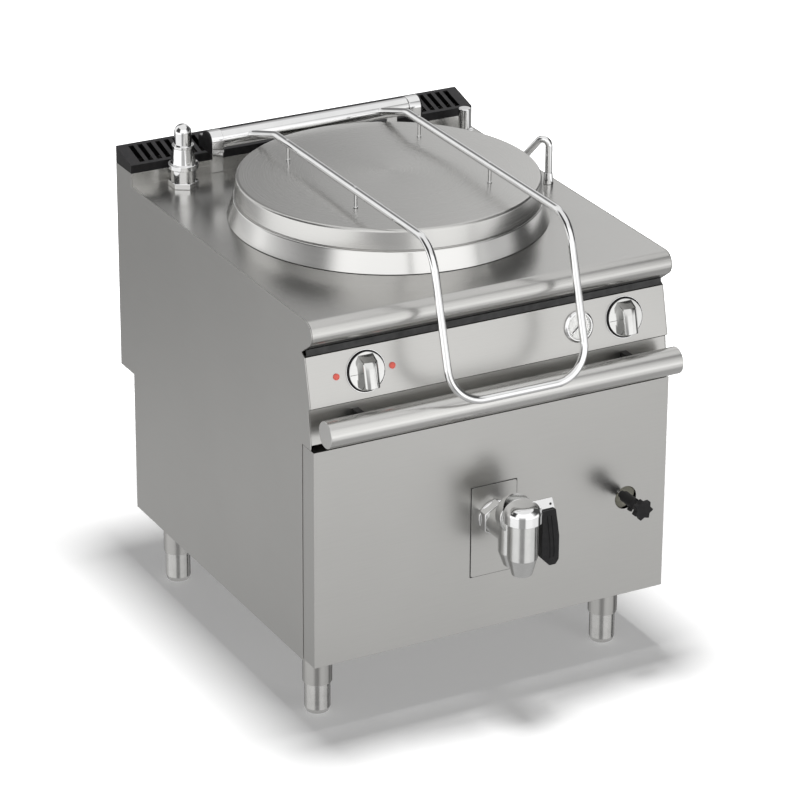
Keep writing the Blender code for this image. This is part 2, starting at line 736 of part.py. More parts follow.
def build_front_panel():
    half = HALF_WIDTH - FRONT_PANEL_INSET
    rear = FRONT_RETURN_Y - GAP
    bottom = BODY_BOTTOM_Z + FRONT_PANEL_LIFT
    panel = add("front_panel", box((-half, FRONT_Y, bottom), (half, rear, FRONT_PANEL_TOP_Z)), brushed_steel)
    inside = box(
        (-half + SHEET, FRONT_Y + SHEET, bottom + SHEET),
        (half - SHEET, rear + OVERRUN, FRONT_PANEL_TOP_Z - SHEET),
    )
    drain = (0, FRONT_Y, DRAIN_Z)
    level = (LEVEL_HOLE_X, FRONT_Y, LEVEL_HOLE_Z)
    cut(
        panel,
        inside,
        disc(DRAIN_PANEL_RADIUS, -OVERRUN, OVERRUN, SMALL_SIDES, drain, FORWARD),
        disc(LEVEL_HOLE_RADIUS, -OVERRUN, OVERRUN, MIDDLE_SIDES, level, FORWARD),
    )


def panel_hole(across, radius):
    """A round cutter square through the control panel, in the row of dials."""
    return disc(radius, -OVERRUN, OVERRUN, MIDDLE_SIDES, control_point(across, DIAL_ROW_Z), PANEL_NORMAL)


def build_control_panel():
    path = [
        (CONTROL_BOTTOM_Y + CONTROL_HEM, CONTROL_BOTTOM_Z),
        (CONTROL_BOTTOM_Y, CONTROL_BOTTOM_Z),
        (CONTROL_TOP_Y, CONTROL_TOP_Z),
        (CONTROL_TOP_Y + CONTROL_HEM, CONTROL_TOP_Z),
    ]
    panel = add("control_panel", prism(sheet(path, SHEET), -INNER_HALF, INNER_HALF, "X"), brushed_steel)
    cut(
        panel,
        panel_hole(KNOB_LEFT_X, SHAFT_HOLE_RADIUS),
        panel_hole(KNOB_RIGHT_X, SHAFT_HOLE_RADIUS),
        panel_hole(LAMP_MIDDLE_X - LAMP_SPACING, LAMP_BODY_RADIUS + GAP),
        panel_hole(LAMP_MIDDLE_X + LAMP_SPACING, LAMP_BODY_RADIUS + GAP),
        panel_hole(GAUGE_X, GAUGE_BODY_RADIUS + GAP),
    )


def build_fascia():
    path = [
        (FASCIA_BOTTOM_Y + CONTROL_HEM, FASCIA_BOTTOM_Z),
        (FASCIA_BOTTOM_Y, FASCIA_BOTTOM_Z),
        (FASCIA_TOP_Y, FASCIA_TOP_Z),
        (FASCIA_TOP_Y + CONTROL_HEM, FASCIA_TOP_Z),
    ]
    add("lower_fascia", prism(sheet(path, SHEET), -INNER_HALF, INNER_HALF, "X"), brushed_steel)


def pipe_holes():
    """Cutters through the worktop for the pipes that rise to its fittings."""
    places = (
        (VALVE_X, VALVE_Y, STEAM_PIPE_RADIUS),
        (FILLER_X, FILLER_Y, STEAM_PIPE_RADIUS),
        (SPOUT_X, SPOUT_Y, WATER_PIPE_RADIUS),
    )
    for across, along, radius in places:
        yield disc(radius + 2 * GAP, -OVERRUN, OVERRUN, SMALL_SIDES, (across, along, WORKTOP_Z), UP)


def build_worktop():
    path = [(FRONT_RETURN_Y + NOSE_HEM, NOSE_TUCK_Z)]
    path += nose_outline()
    path += [
        (RISER_Y, WORKTOP_Z),
        (RISER_Y, RISER_TOP_Z),
        (RISER_Y + RISER_HEM, RISER_TOP_Z),
    ]
    worktop = add("worktop", prism(sheet(path, SHEET), -INNER_HALF, INNER_HALF, "X"), brushed_steel)
    hole = COLLAR_TOP_RADIUS + WORKTOP_HOLE_MARGIN
    cut(worktop, disc(hole, -OVERRUN, OVERRUN, WIDE_SIDES, (0, 0, WORKTOP_Z), UP), *pipe_holes())


def build_collar():
    path = [
        (COLLAR_LIP_RADIUS, COLLAR_TOP_Z - COLLAR_LIP_DEPTH),
        (COLLAR_LIP_RADIUS, COLLAR_TOP_Z),
        (COLLAR_TOP_RADIUS - COLLAR_EDGE, COLLAR_TOP_Z),
        (COLLAR_TOP_RADIUS, COLLAR_TOP_Z - COLLAR_EDGE),
        (COLLAR_FOOT_RADIUS, WORKTOP_Z + GAP + COLLAR_FOOT_LIFT),
    ]
    add("kettle_collar", turned(sheet(path, COLLAR_WALL), WIDE_SIDES, (0, 0, 0), UP), brushed_steel)


def grille_outline(wall):
    """The grille's section in Y and Z, or the hollow under its wall."""
    front = RISER_Y + wall
    rear = REAR_Y - wall
    slope = (GRILLE_REAR_HEIGHT - GRILLE_FRONT_HEIGHT) / RISER_DEPTH
    bottom = GRILLE_Z - (OVERRUN if wall else 0)
    return [
        (front, bottom),
        (front, GRILLE_FRONT_TOP_Z - wall + slope * wall),
        (rear, GRILLE_REAR_TOP_Z - wall - slope * wall),
        (rear, bottom),
    ]


def build_grille():
    half = HALF_WIDTH - GRILLE_INSET
    grille = add("flue_grille", prism(grille_outline(0), -half, half, "X"), black_plastic)
    hollow = prism(grille_outline(GRILLE_WALL), -half + GRILLE_WALL, half - GRILLE_WALL, "X")
    count = int((2 * half - SLOT_PITCH) / SLOT_PITCH)
    slots = bmesh.new()
    for index in range(count):
        middle = (index - (count - 1) / 2) * SLOT_PITCH
        low = (middle - SLOT_WIDTH / 2, RISER_Y + SLOT_MARGIN, GRILLE_Z)
        high = (middle + SLOT_WIDTH / 2, REAR_Y - SLOT_MARGIN, GRILLE_REAR_TOP_Z + OVERRUN)
        slot = box(low, high)
        part = bpy.data.meshes.new("slot")
        slot.to_mesh(part)
        slot.free()
        slots.from_mesh(part)
    cut(grille, hollow, slots)


def build_rail():
    start = (-RAIL_HALF_LENGTH, RAIL_Y, RAIL_Z)
    add("front_rail", disc(RAIL_RADIUS, 0, 2 * RAIL_HALF_LENGTH, MIDDLE_SIDES, start, RIGHT), brushed_steel)
    lean = math.tan(FASCIA_LEAN)
    top = RAIL_Z + RAIL_BRACKET_HEIGHT / 2
    bottom = RAIL_Z - RAIL_BRACKET_HEIGHT / 2
    face = FASCIA_TOP_Y - GAP / math.cos(FASCIA_LEAN)
    outline = [
        (RAIL_Y, bottom),
        (face - (FASCIA_TOP_Z - bottom) * lean, bottom),
        (face - (FASCIA_TOP_Z - top) * lean, top),
        (RAIL_Y, top),
    ]
    for name, side in (("left", -1), ("right", 1)):
        middle = side * RAIL_BRACKET_X
        low = middle - RAIL_BRACKET_WIDTH / 2
        high = middle + RAIL_BRACKET_WIDTH / 2
        bracket = add(f"rail_bracket_{name}", prism(outline, low, high, "X"), brushed_steel)
        saddle = disc(RAIL_RADIUS + GAP, 0, 2 * RAIL_HALF_LENGTH, MIDDLE_SIDES, start, RIGHT)
        cut(bracket, saddle)


# Vessel, jacket and what serves them

def build_vessel():
    knuckle = arc(
        (VESSEL_RADIUS - VESSEL_KNUCKLE, VESSEL_FLOOR_Z + VESSEL_KNUCKLE),
        VESSEL_KNUCKLE,
        -math.pi / 2,
        0,
        ARC_STEPS,
    )
    path = [(0, VESSEL_FLOOR_Z + VESSEL_DISH)]
    path += knuckle
    path += [(VESSEL_RADIUS, RIM_TOP_Z), (VESSEL_RADIUS + RIM_REACH, RIM_TOP_Z)]
    profile = [(max(radius, 0), height) for radius, height in sheet(path, VESSEL_WALL)]
    profile[-1] = (0, profile[-1][1])
    vessel = add("vessel", turned(profile, WIDE_SIDES, (0, 0, 0), UP), brushed_steel)
    outlet = (0, -VESSEL_RADIUS, DRAIN_Z)
    cut(vessel, disc(DRAIN_BORE, -OVERRUN, OVERRUN, SMALL_SIDES, outlet, FORWARD))


def side_cutter(radius, across, height, inner, outer):
    """A round cutter along Y, from one distance in front of the vessel's axis to another."""
    return disc(radius, inner, outer, SMALL_SIDES, (across, 0, height), FORWARD)


def build_jacket():
    knuckle = arc(
        (JACKET_RADIUS - JACKET_KNUCKLE, JACKET_FLOOR_Z + JACKET_KNUCKLE),
        JACKET_KNUCKLE,
        0,
        -math.pi / 2,
        ARC_STEPS,
    )
    neck = VESSEL_RADIUS + VESSEL_WALL + GAP + JACKET_WALL
    path = [
        (neck, JACKET_TOP_Z + JACKET_LIP),
        (neck, JACKET_TOP_Z),
        (JACKET_RADIUS, JACKET_TOP_Z - JACKET_SHOULDER),
    ]
    path += knuckle
    path += [(0, JACKET_FLOOR_Z)]
    jacket = add("steam_jacket", turned(sheet(path, JACKET_WALL), WIDE_SIDES, (0, 0, 0), UP), brushed_steel)
    heater = (0, 0, HEATER_Z)
    inside = JACKET_RADIUS - HEATER_NECK_ENTRY
    bore = HEATER_NECK_RADIUS - HEATER_NECK_WALL
    middle = HEATER_NECK_RADIUS - HEATER_NECK_WALL / 2
    cut(
        jacket,
        disc(middle, inside - OVERRUN, HEATER_FACE_Y, SMALL_SIDES, heater, BACK),
        side_cutter(DRAIN_PIPE_RADIUS + GAP, 0, DRAIN_Z, VESSEL_RADIUS, JACKET_RADIUS + OVERRUN),
        side_cutter(LEVEL_PIPE_RADIUS + GAP, LEVEL_X, LEVEL_Z, level_pipe_start(), JACKET_RADIUS),
    )
    join(jacket, ring_disc(bore, HEATER_NECK_RADIUS, inside, HEATER_FACE_Y, SMALL_SIDES, heater, BACK))


def level_pipe_start():
    """How far in front of the vessel's axis the level pipe ends, just inside the jacket wall."""
    outer = LEVEL_X + 2 * LEVEL_PIPE_RADIUS
    return math.sqrt(JACKET_RADIUS ** 2 - outer ** 2) - OVERRUN


def build_insulation():
    inner = JACKET_RADIUS + GAP
    bottom = JACKET_FLOOR_Z - GAP - INSULATION
    profile = [
        (0, bottom),
        (inner + INSULATION, bottom),
        (inner + INSULATION, INSULATION_TOP_Z),
        (inner, INSULATION_TOP_Z),
        (inner, bottom + INSULATION),
        (0, bottom + INSULATION),
    ]
    cover = add("jacket_insulation", turned(profile, WIDE_SIDES, (0, 0, 0), UP), glass_wool)
    outer = inner + INSULATION + OVERRUN
    cut(
        cover,
        disc(HEATER_PLATE_RADIUS + GAP, VESSEL_RADIUS, outer, SMALL_SIDES, (0, 0, HEATER_Z), BACK),
        side_cutter(DRAIN_PIPE_RADIUS + GAP, 0, DRAIN_Z, VESSEL_RADIUS, outer),
        side_cutter(LEVEL_PIPE_RADIUS + GAP, LEVEL_X, LEVEL_Z, level_pipe_start(), outer),
    )


def build_heater():
    centre = (0, HEATER_FACE_Y + GAP, HEATER_Z)
    head_end = HEATER_PLATE_THICKNESS + HEATER_HEAD_LENGTH
    profile = [
        (0, 0),
        (HEATER_PLATE_RADIUS, 0),
        (HEATER_PLATE_RADIUS, HEATER_PLATE_THICKNESS),
        (HEATER_HEAD_RADIUS, HEATER_PLATE_THICKNESS),
        (HEATER_HEAD_RADIUS, head_end),
        (0, head_end),
    ]
    heater = add("heater", turned(profile, SMALL_SIDES, centre, BACK), dark_metal)
    tools = []
    start = centre[1] + HEATER_PLATE_THICKNESS / 2
    end = centre[1] - HEATER_LENGTH
    for index in range(HEATER_LOOPS):
        across = (index - (HEATER_LOOPS - 1) / 2) * HEATER_PITCH
        high = HEATER_Z + HEATER_HALF_RISE
        low = HEATER_Z - HEATER_HALF_RISE
        corners = [(across, start, high), (across, end, high), (across, end, low), (across, start, low)]
        route = rounded_path(corners, [HEATER_HALF_RISE - GAP] * 2, ARC_STEPS)
        tools.append(swept(route, HEATER_RADIUS, PIPE_SIDES))
    join(heater, *tools)


def riser_route(across, along):
    """From the bare top of the jacket straight out, then up to a fitting on the worktop."""
    reach = math.hypot(across, along)
    start = (JACKET_RADIUS + GAP) / reach
    low = Vector((across, along, INNER_PIPE_Z))
    corners = [(across * start, along * start, INNER_PIPE_Z), low, (across, along, WORKTOP_Z)]
    return rounded_path(corners, [PIPE_BEND], ARC_STEPS)


def build_inner_pipes():
    add("steam_pipe", swept(riser_route(VALVE_X, VALVE_Y), STEAM_PIPE_RADIUS, PIPE_SIDES), brushed_steel)
    add("filler_pipe", swept(riser_route(FILLER_X, FILLER_Y), STEAM_PIPE_RADIUS, PIPE_SIDES), brushed_steel)
    corners = [
        (SPOUT_X, SPOUT_Y, WORKTOP_Z),
        (SPOUT_X, SPOUT_Y, WATER_PIPE_Z),
        (SPOUT_X, REAR_Y - SHEET - GAP, WATER_PIPE_Z),
    ]
    water = swept(rounded_path(corners, [PIPE_BEND], ARC_STEPS), WATER_PIPE_RADIUS, PIPE_SIDES)
    add("water_pipe", water, brushed_steel)
    start = level_pipe_start() + GAP
    end = -FRONT_Y + LEVEL_BODY_OFFSET
    level = disc(LEVEL_PIPE_RADIUS, start, end, PIPE_SIDES, (LEVEL_X, 0, LEVEL_Z), FORWARD)
    add("level_pipe", level, chrome)


# Drain tap

def build_drain():
    axis = (0, 0, DRAIN_Z)
    face = -FRONT_Y
    plate_front = face + GAP + DRAIN_PLATE_THICKNESS
    nut_back = plate_front + GAP
    nut_front = nut_back + NUT_LENGTH
    start = VESSEL_RADIUS + VESSEL_WALL + GAP
    add(
        "drain_pipe",
        ring_disc(DRAIN_BORE, DRAIN_PIPE_RADIUS, start, nut_front, SMALL_SIDES, axis, FORWARD),
        brushed_steel,
    )
    half = DRAIN_PLATE_WIDTH / 2
    middle = DRAIN_Z - DRAIN_PLATE_DROP
    corners = []
    for across, up, angle in ((1, -1, -math.pi / 2), (1, 1, 0), (-1, 1, math.pi / 2), (-1, -1, math.pi)):
        centre = (
            across * (half - DRAIN_PLATE_CORNER),
            middle + up * (DRAIN_PLATE_HEIGHT / 2 - DRAIN_PLATE_CORNER),
        )
        corners += arc(centre, DRAIN_PLATE_CORNER, angle, angle + math.pi / 2, ARC_STEPS)
    plate = add("drain_plate", prism(corners, -plate_front, -face - GAP, "Y"), brushed_steel)
    cut(plate, disc(DRAIN_PANEL_RADIUS, 0, face + OVERRUN, SMALL_SIDES, axis, FORWARD))
    hexagon = turned([(0, nut_back), (NUT_RADIUS, nut_back), (NUT_RADIUS, nut_front), (0, nut_front)], 6,
                     axis, FORWARD)
    nut = add("drain_nut", hexagon, chrome)
    cut(nut, disc(DRAIN_PANEL_RADIUS, 0, nut_front + OVERRUN, SMALL_SIDES, axis, FORWARD))
    build_tap_body(nut_front + GAP)


def tapered_post(middle_y, bottom, top):
    """An upright round post of the tap body that narrows to its foot."""
    profile = [
        (0, bottom),
        (TAP_OUTLET_RADIUS, bottom),
        (TAP_RADIUS, TAP_TAPER_Z),
        (TAP_RADIUS, top),
        (0, top),
    ]
    return turned(profile, MIDDLE_SIDES, (0, middle_y, 0), UP)


def build_tap_body(back):
    body = add("tap_body", tapered_post(TAP_Y, TAP_BOTTOM_Z, TAP_TOP_Z + TAP_OUTLET_WALL), chrome)
    rear_y = TAP_Y + TAP_REAR_OFFSET
    shoulder = (0, TAP_Y + SHOULDER_OFFSET, SHOULDER_Z)
    edge = TAP_OUTLET_WALL
    profile = [
        (0, 0),
        (SHOULDER_RADIUS - edge, 0),
        (SHOULDER_RADIUS, edge),
        (SHOULDER_RADIUS, SHOULDER_LENGTH - edge),
        (SHOULDER_RADIUS - edge, SHOULDER_LENGTH),
        (0, SHOULDER_LENGTH),
    ]
    hood = turned(profile, MIDDLE_SIDES, shoulder, FORWARD)
    neck = disc(NECK_RADIUS, back, -rear_y, MIDDLE_SIDES, (0, 0, DRAIN_Z), FORWARD)
    join(body, tapered_post(rear_y, TAP_REAR_BOTTOM_Z, SHOULDER_Z), neck, hood)
    outlet = TAP_OUTLET_RADIUS - TAP_OUTLET_WALL
    plug = PLUG_RADIUS + GAP
    above = CAP_RADIUS + GAP
    sky = TAP_TOP_Z + CAP_BAND + CAP_RISE + OVERRUN
    hollow = [
        (0, TAP_BOTTOM_Z - OVERRUN),
        (outlet, TAP_BOTTOM_Z - OVERRUN),
        (outlet, TAP_TOP_Z - PLUG_LENGTH),
        (plug, TAP_TOP_Z - PLUG_LENGTH),
        (plug, TAP_TOP_Z),
        (above, TAP_TOP_Z),
        (above, sky),
        (0, sky),
    ]
    inlet = disc(DRAIN_BORE - TAP_OUTLET_WALL, back - OVERRUN, -TAP_Y, SMALL_SIDES, (0, 0, DRAIN_Z), FORWARD)
    cut(body, turned(hollow, MIDDLE_SIDES, (0, TAP_Y, 0), UP), inlet)


def build_tap_head():
    axis = (0, TAP_Y, 0)
    origin = (0, TAP_Y, TAP_TOP_Z)
    low = TAP_TOP_Z - PLUG_LENGTH + GAP
    high = TAP_TOP_Z + GAP
    wall = TAP_OUTLET_WALL
    profile = [
        (PLUG_TIP_RADIUS - wall, low),
        (PLUG_TIP_RADIUS, low),
        (PLUG_RADIUS, high),
        (0, high),
        (0, high - wall),
        (PLUG_TIP_RADIUS - wall, high - wall),
    ]
    plug = add("tap_plug", turned(profile, SMALL_SIDES, axis, UP), dark_metal, origin)
    port = disc(DRAIN_BORE / 2, 0, PLUG_RADIUS + OVERRUN, SMALL_SIDES, (0, TAP_Y, DRAIN_Z), RIGHT)
    cut(plug, port)


def build_lever():
    origin = (0, TAP_Y, TAP_TOP_Z)
    base = TAP_TOP_Z + GAP + GAP
    dome = arc((CAP_TOP_RADIUS, base + CAP_BAND), CAP_RADIUS - CAP_TOP_RADIUS, 0, math.pi / 2, ARC_STEPS)
    profile = [(0, base), (CAP_RADIUS, base)]
    profile += dome
    profile += [(0, base + CAP_RISE)]
    lever = add("tap_lever", turned(profile, MIDDLE_SIDES, (0, TAP_Y, 0), UP), chrome, origin)
    front = TAP_Y - LEVER_THICKNESS / 2
    rear = TAP_Y + LEVER_THICKNESS / 2
    low = TAP_TOP_Z + LEVER_LIFT
    strap = [
        (LEVER_START, low),
        (LEVER_REACH, low),
        (LEVER_REACH - LEVER_END_SLOPE, low + LEVER_HEIGHT),
        (LEVER_START, low + LEVER_HEIGHT),
    ]
    join(lever, prism(strap, front, rear, "Y"))
    top = low - GAP
    bottom = top - GRIP_DROP
    reach = LEVER_REACH
    grip = [
        (reach - GRIP_TOP_WIDTH, top),
        (reach, top),
        (reach + GRIP_BULGE / 2, top - GRIP_DROP / 4),
        (reach + GRIP_BULGE, top - GRIP_DROP / 2),
        (reach + GRIP_BULGE, bottom + GRIP_TOE),
        (reach - GRIP_TOE, bottom),
        (reach - GRIP_TOP_WIDTH, bottom + 2 * GRIP_TOE),
    ]
    shape = prism(grip, TAP_Y - GRIP_THICKNESS / 2, TAP_Y + GRIP_THICKNESS / 2, "Y")
    add("tap_grip", shape, black_plastic, origin)


# Jacket level cock

def build_level_cock():
    start = -FRONT_Y + LEVEL_BODY_OFFSET + GAP
    end = start + LEVEL_BODY_LENGTH
    axis = (LEVEL_X, 0, LEVEL_Z)
    barrel = disc(LEVEL_BODY_RADIUS, start, end, SMALL_SIDES, axis, FORWARD)
    body = add("level_cock_body", barrel, black_plastic)
    middle = (LEVEL_X, -(start + LEVEL_SPOUT_OFFSET), LEVEL_Z)
    tilt = (-math.sin(LEVEL_SPOUT_TILT), 0, -math.cos(LEVEL_SPOUT_TILT))
    join(body, disc(LEVEL_SPOUT_RADIUS, 0, LEVEL_SPOUT_LENGTH, PIPE_SIDES, middle, tilt))
    star = []
    for point in range(2 * STAR_POINTS):
        radius = STAR_VALLEY_RADIUS if point % 2 else STAR_RADIUS
        angle = math.pi * point / STAR_POINTS
        star.append((LEVEL_X + radius * math.cos(angle), LEVEL_Z + radius * math.sin(angle)))
    origin = (LEVEL_X, -end, LEVEL_Z)
    shape = prism(star, -(end + GAP + STAR_THICKNESS), -(end + GAP), "Y")
    add("level_cock_knob", shape, black_plastic, origin)


# Control panel pieces

def build_knob(name, across):
    centre = control_point(across, DIAL_ROW_Z)
    bezel_low = GAP
    bezel_high = bezel_low + BEZEL_THICKNESS
    ring = ring_disc(BEZEL_BORE, BEZEL_RADIUS, bezel_low, bezel_high, MIDDLE_SIDES, centre, PANEL_NORMAL)
    add(f"{name}_bezel", ring, dark_metal)
    base = bezel_high + GAP
    face = base + KNOB_BASE
    profile = [
        (0, -SHAFT_LENGTH),
        (SHAFT_RADIUS, -SHAFT_LENGTH),
        (SHAFT_RADIUS, base),
        (KNOB_RADIUS, base),
        (KNOB_RADIUS, face - KNOB_EDGE),
        (KNOB_RADIUS - KNOB_EDGE, face),
        (0, face),
    ]
    knob = add(name, turned(profile, MIDDLE_SIDES, centre, PANEL_NORMAL), chrome, centre)
    limit = math.sqrt((KNOB_RADIUS - KNOB_EDGE) ** 2 - GRIP_HALF_WIDTH ** 2)
    top = face + GRIP_HEIGHT
    low = base + KNOB_EDGE
    side_view = [(-limit, low), (limit, low), (limit - GRIP_SLOPE, top), (-limit, top)]
    grip = prism(side_view, -GRIP_HALF_WIDTH, GRIP_HALF_WIDTH, "X")
    join(knob, aimed(grip, centre, PANEL_NORMAL))
    half = SWITCH_SIZE / 2
    back = -SHEET - GAP
    body = aimed(box((-half, -half, back - SWITCH_DEPTH), (half, half, back)), centre, PANEL_NORMAL)
    switch = add(f"{name}_switch", body, black_plastic)
    cut(switch, disc(SHAFT_RADIUS + GAP, -SHAFT_LENGTH - GAP, OVERRUN, SMALL_SIDES, centre, PANEL_NORMAL))


def build_lamps():
    for name, side in (("left", -1), ("right", 1)):
        centre = control_point(LAMP_MIDDLE_X + side * LAMP_SPACING, DIAL_ROW_Z)
        profile = [
            (0, -LAMP_BODY_LENGTH),
            (LAMP_BODY_RADIUS, -LAMP_BODY_LENGTH),
            (LAMP_BODY_RADIUS, GAP),
            (LAMP_RADIUS, GAP),
            (LAMP_RADIUS, LAMP_RISE / 2),
            (LAMP_BODY_RADIUS, LAMP_RISE),
            (0, LAMP_RISE),
        ]
        add(f"lamp_{name}", turned(profile, SMALL_SIDES, centre, PANEL_NORMAL), red_lens)


def build_gauge():
    centre = control_point(GAUGE_X, DIAL_ROW_Z)
    inner = GAUGE_BODY_RADIUS - GAUGE_WALL
    dial_base = GAUGE_BEZEL_RISE - GAUGE_RECESS
    floor = dial_base - GAP
    profile = [
        (0, -GAUGE_BODY_DEPTH),
        (GAUGE_BODY_RADIUS, -GAUGE_BODY_DEPTH),
        (GAUGE_BODY_RADIUS, GAP),
        (GAUGE_BEZEL_RADIUS, GAP),
        (GAUGE_BEZEL_RADIUS, GAUGE_BEZEL_RISE / 2),
        (GAUGE_BODY_RADIUS, GAUGE_BEZEL_RISE),
        (inner, GAUGE_BEZEL_RISE),
        (inner, floor),
        (0, floor),
    ]
    add("gauge_case", turned(profile, MIDDLE_SIDES, centre, PANEL_NORMAL), chrome)
    radius = inner - GAP
    dial_top = dial_base + DIAL_THICKNESS
    add("gauge_dial", disc(radius, dial_base, dial_top, MIDDLE_SIDES, centre, PANEL_NORMAL), white_dial)
    glass_top = GAUGE_BEZEL_RISE - GAP
    glass = disc(radius, glass_top - GLASS_THICKNESS, glass_top, MIDDLE_SIDES, centre, PANEL_NORMAL)
    add("gauge_glass", glass, clear_glass)
    low = dial_top + NEEDLE_CLEARANCE
    high = low + NEEDLE_THICKNESS
    half = NEEDLE_WIDTH / 2
    along = Vector((math.cos(NEEDLE_REST), math.sin(NEEDLE_REST)))
    side = Vector((-along.y, along.x)) * half
    corners = [
        -along * NEEDLE_TAIL - side,
        along * NEEDLE_LENGTH - side / 2,
        along * NEEDLE_LENGTH + side / 2,
        -along * NEEDLE_TAIL + side,
    ]
    pointer = prism([tuple(corner) for corner in corners], low, high, "Z")
    needle = add("gauge_needle", aimed(pointer, centre, PANEL_NORMAL), black_plastic, centre)
    hub_top = high + NEEDLE_CLEARANCE / 2
    hub = disc(NEEDLE_HUB_RADIUS, dial_top + GAP, hub_top, PIPE_SIDES, centre, PANEL_NORMAL)
    join(needle, hub)


# Lid, handle and hinge

def lid_ring_z():
    return LID_SKIRT_Z + LID_SKIRT_HEIGHT + LID_EDGE


def lid_height(radius):
    """Height of the lid's top face inside its outer ring."""
    return lid_ring_z() + LID_RING_RISE + LID_CROWN * (1 - radius / LID_RING_RADIUS)


def build_lid():
    shoulder = arc(
        (LID_SKIRT_TOP_RADIUS - LID_EDGE, LID_SKIRT_Z + LID_SKIRT_HEIGHT),
        LID_EDGE,
        math.pi / 2,
        0,
        ARC_STEPS,
    )
    path = [(0, lid_height(0)), (LID_RING_RADIUS, lid_height(LID_RING_RADIUS))]
    path += shoulder
    path += [(LID_RADIUS, LID_SKIRT_Z)]
    profile = sheet(path, LID_WALL)
    profile[-1] = (0, profile[-1][1])
    add("lid", turned(profile, WIDE_SIDES, (0, 0, 0), UP), brushed_steel, (0, HINGE_Y, HINGE_Z))


def build_handle():
    corners = []
    for side in (-1, 1):
        across = side * HANDLE_HALF_WIDTH
        arm = [
            (across, HINGE_Y, HINGE_Z),
            (across, HANDLE_SLOPE_Y, HANDLE_Z),
            (across, HANDLE_FRONT_Y, HANDLE_Z),
            (across, HANDLE_LOW_Y, HANDLE_LOW_Z),
        ]
        corners += arm if side < 0 else arm[::-1]
    bends = [HANDLE_BEND, HANDLE_BEND, HANDLE_LOW_BEND, HANDLE_LOW_BEND, HANDLE_BEND, HANDLE_BEND]
    origin = (0, HINGE_Y, HINGE_Z)
    route = rounded_path(corners, bends, ARC_STEPS)
    handle = add("lid_handle", swept(route, HANDLE_RADIUS, HANDLE_SIDES), chrome, origin)
    studs = []
    for across in (-HANDLE_HALF_WIDTH, HANDLE_HALF_WIDTH):
        for along in (STUD_REAR_Y, STUD_FRONT_Y):
            near = math.hypot(across, along) - STUD_RADIUS
            foot_z = lid_height(near) + GAP
            studs.append(disc(STUD_RADIUS, foot_z, HANDLE_Z, PIPE_SIDES, (across, along, 0), UP))
    join(handle, *studs)
    cut(handle, disc(HINGE_TUBE_RADIUS + GAP, -HALF_WIDTH, HALF_WIDTH, MIDDLE_SIDES, origin, RIGHT))


def bracket_outline():
    """The hinge bracket's housing in Y and Z: round over the tube, with a low flat tail behind it."""
    rear = RISER_Y - GAP
    bottom = HINGE_Z - BRACKET_DROP
    outline = [(rear, bottom), (HINGE_Y - BRACKET_RADIUS, bottom)]
    outline += arc((HINGE_Y, HINGE_Z), BRACKET_RADIUS, math.pi, BRACKET_END_ANGLE, 4 * ARC_STEPS)
    outline += [(rear, HINGE_Z + BRACKET_REAR_RISE)]
    return outline


def build_hinge():
    centre = (0, HINGE_Y, HINGE_Z)
    half = HINGE_TUBE_HALF
    profile = [
        (0, -half - HINGE_PIN_LENGTH),
        (HINGE_PIN_RADIUS, -half - HINGE_PIN_LENGTH),
        (HINGE_PIN_RADIUS, -half),
        (HINGE_TUBE_RADIUS, -half),
        (HINGE_TUBE_RADIUS, half),
        (HINGE_PIN_RADIUS, half),
        (HINGE_PIN_RADIUS, half + HINGE_PIN_LENGTH),
        (0, half + HINGE_PIN_LENGTH),
    ]
    add("hinge_tube", turned(profile, MIDDLE_SIDES, centre, RIGHT), chrome, centre)
    rear = RISER_Y - GAP
    for name, side in (("left", -1), ("right", 1)):
        inner = half + GAP
        outer = inner + BRACKET_WIDTH
        spans = sorted((side * inner, side * outer))
        bracket = add(f"hinge_bracket_{name}", prism(bracket_outline(), *spans, "X"), chrome)
        near = sorted((side * inner, side * (inner - STRAP_WIDTH)))
        far = sorted((side * (outer - BRACKET_WIDTH / 2), side * (inner - STRAP_WIDTH)))
        tongue_y = rear - STRAP_THICKNESS / 2
        tongue_z = HINGE_Z - BRACKET_DROP / 2
        join(
            bracket,
            box((near[0], rear - STRAP_THICKNESS, WORKTOP_Z + GAP), (near[1], rear, HINGE_Z)),
            box((far[0], tongue_y, tongue_z), (far[1], rear - GAP, HINGE_Z)),
        )
        pin = HINGE_PIN_LENGTH + GAP
        bore = disc(HINGE_PIN_RADIUS + GAP, -half - pin, half + pin, MIDDLE_SIDES, centre, RIGHT)
        cut(bracket, bore)
        ends = sorted((side * (outer + GAP), side * (outer + GAP + HINGE_CAP_THICKNESS)))
        add(f"hinge_cap_{name}", prism(bracket_outline(), *ends, "X"), black_plastic)


# Fittings on the worktop

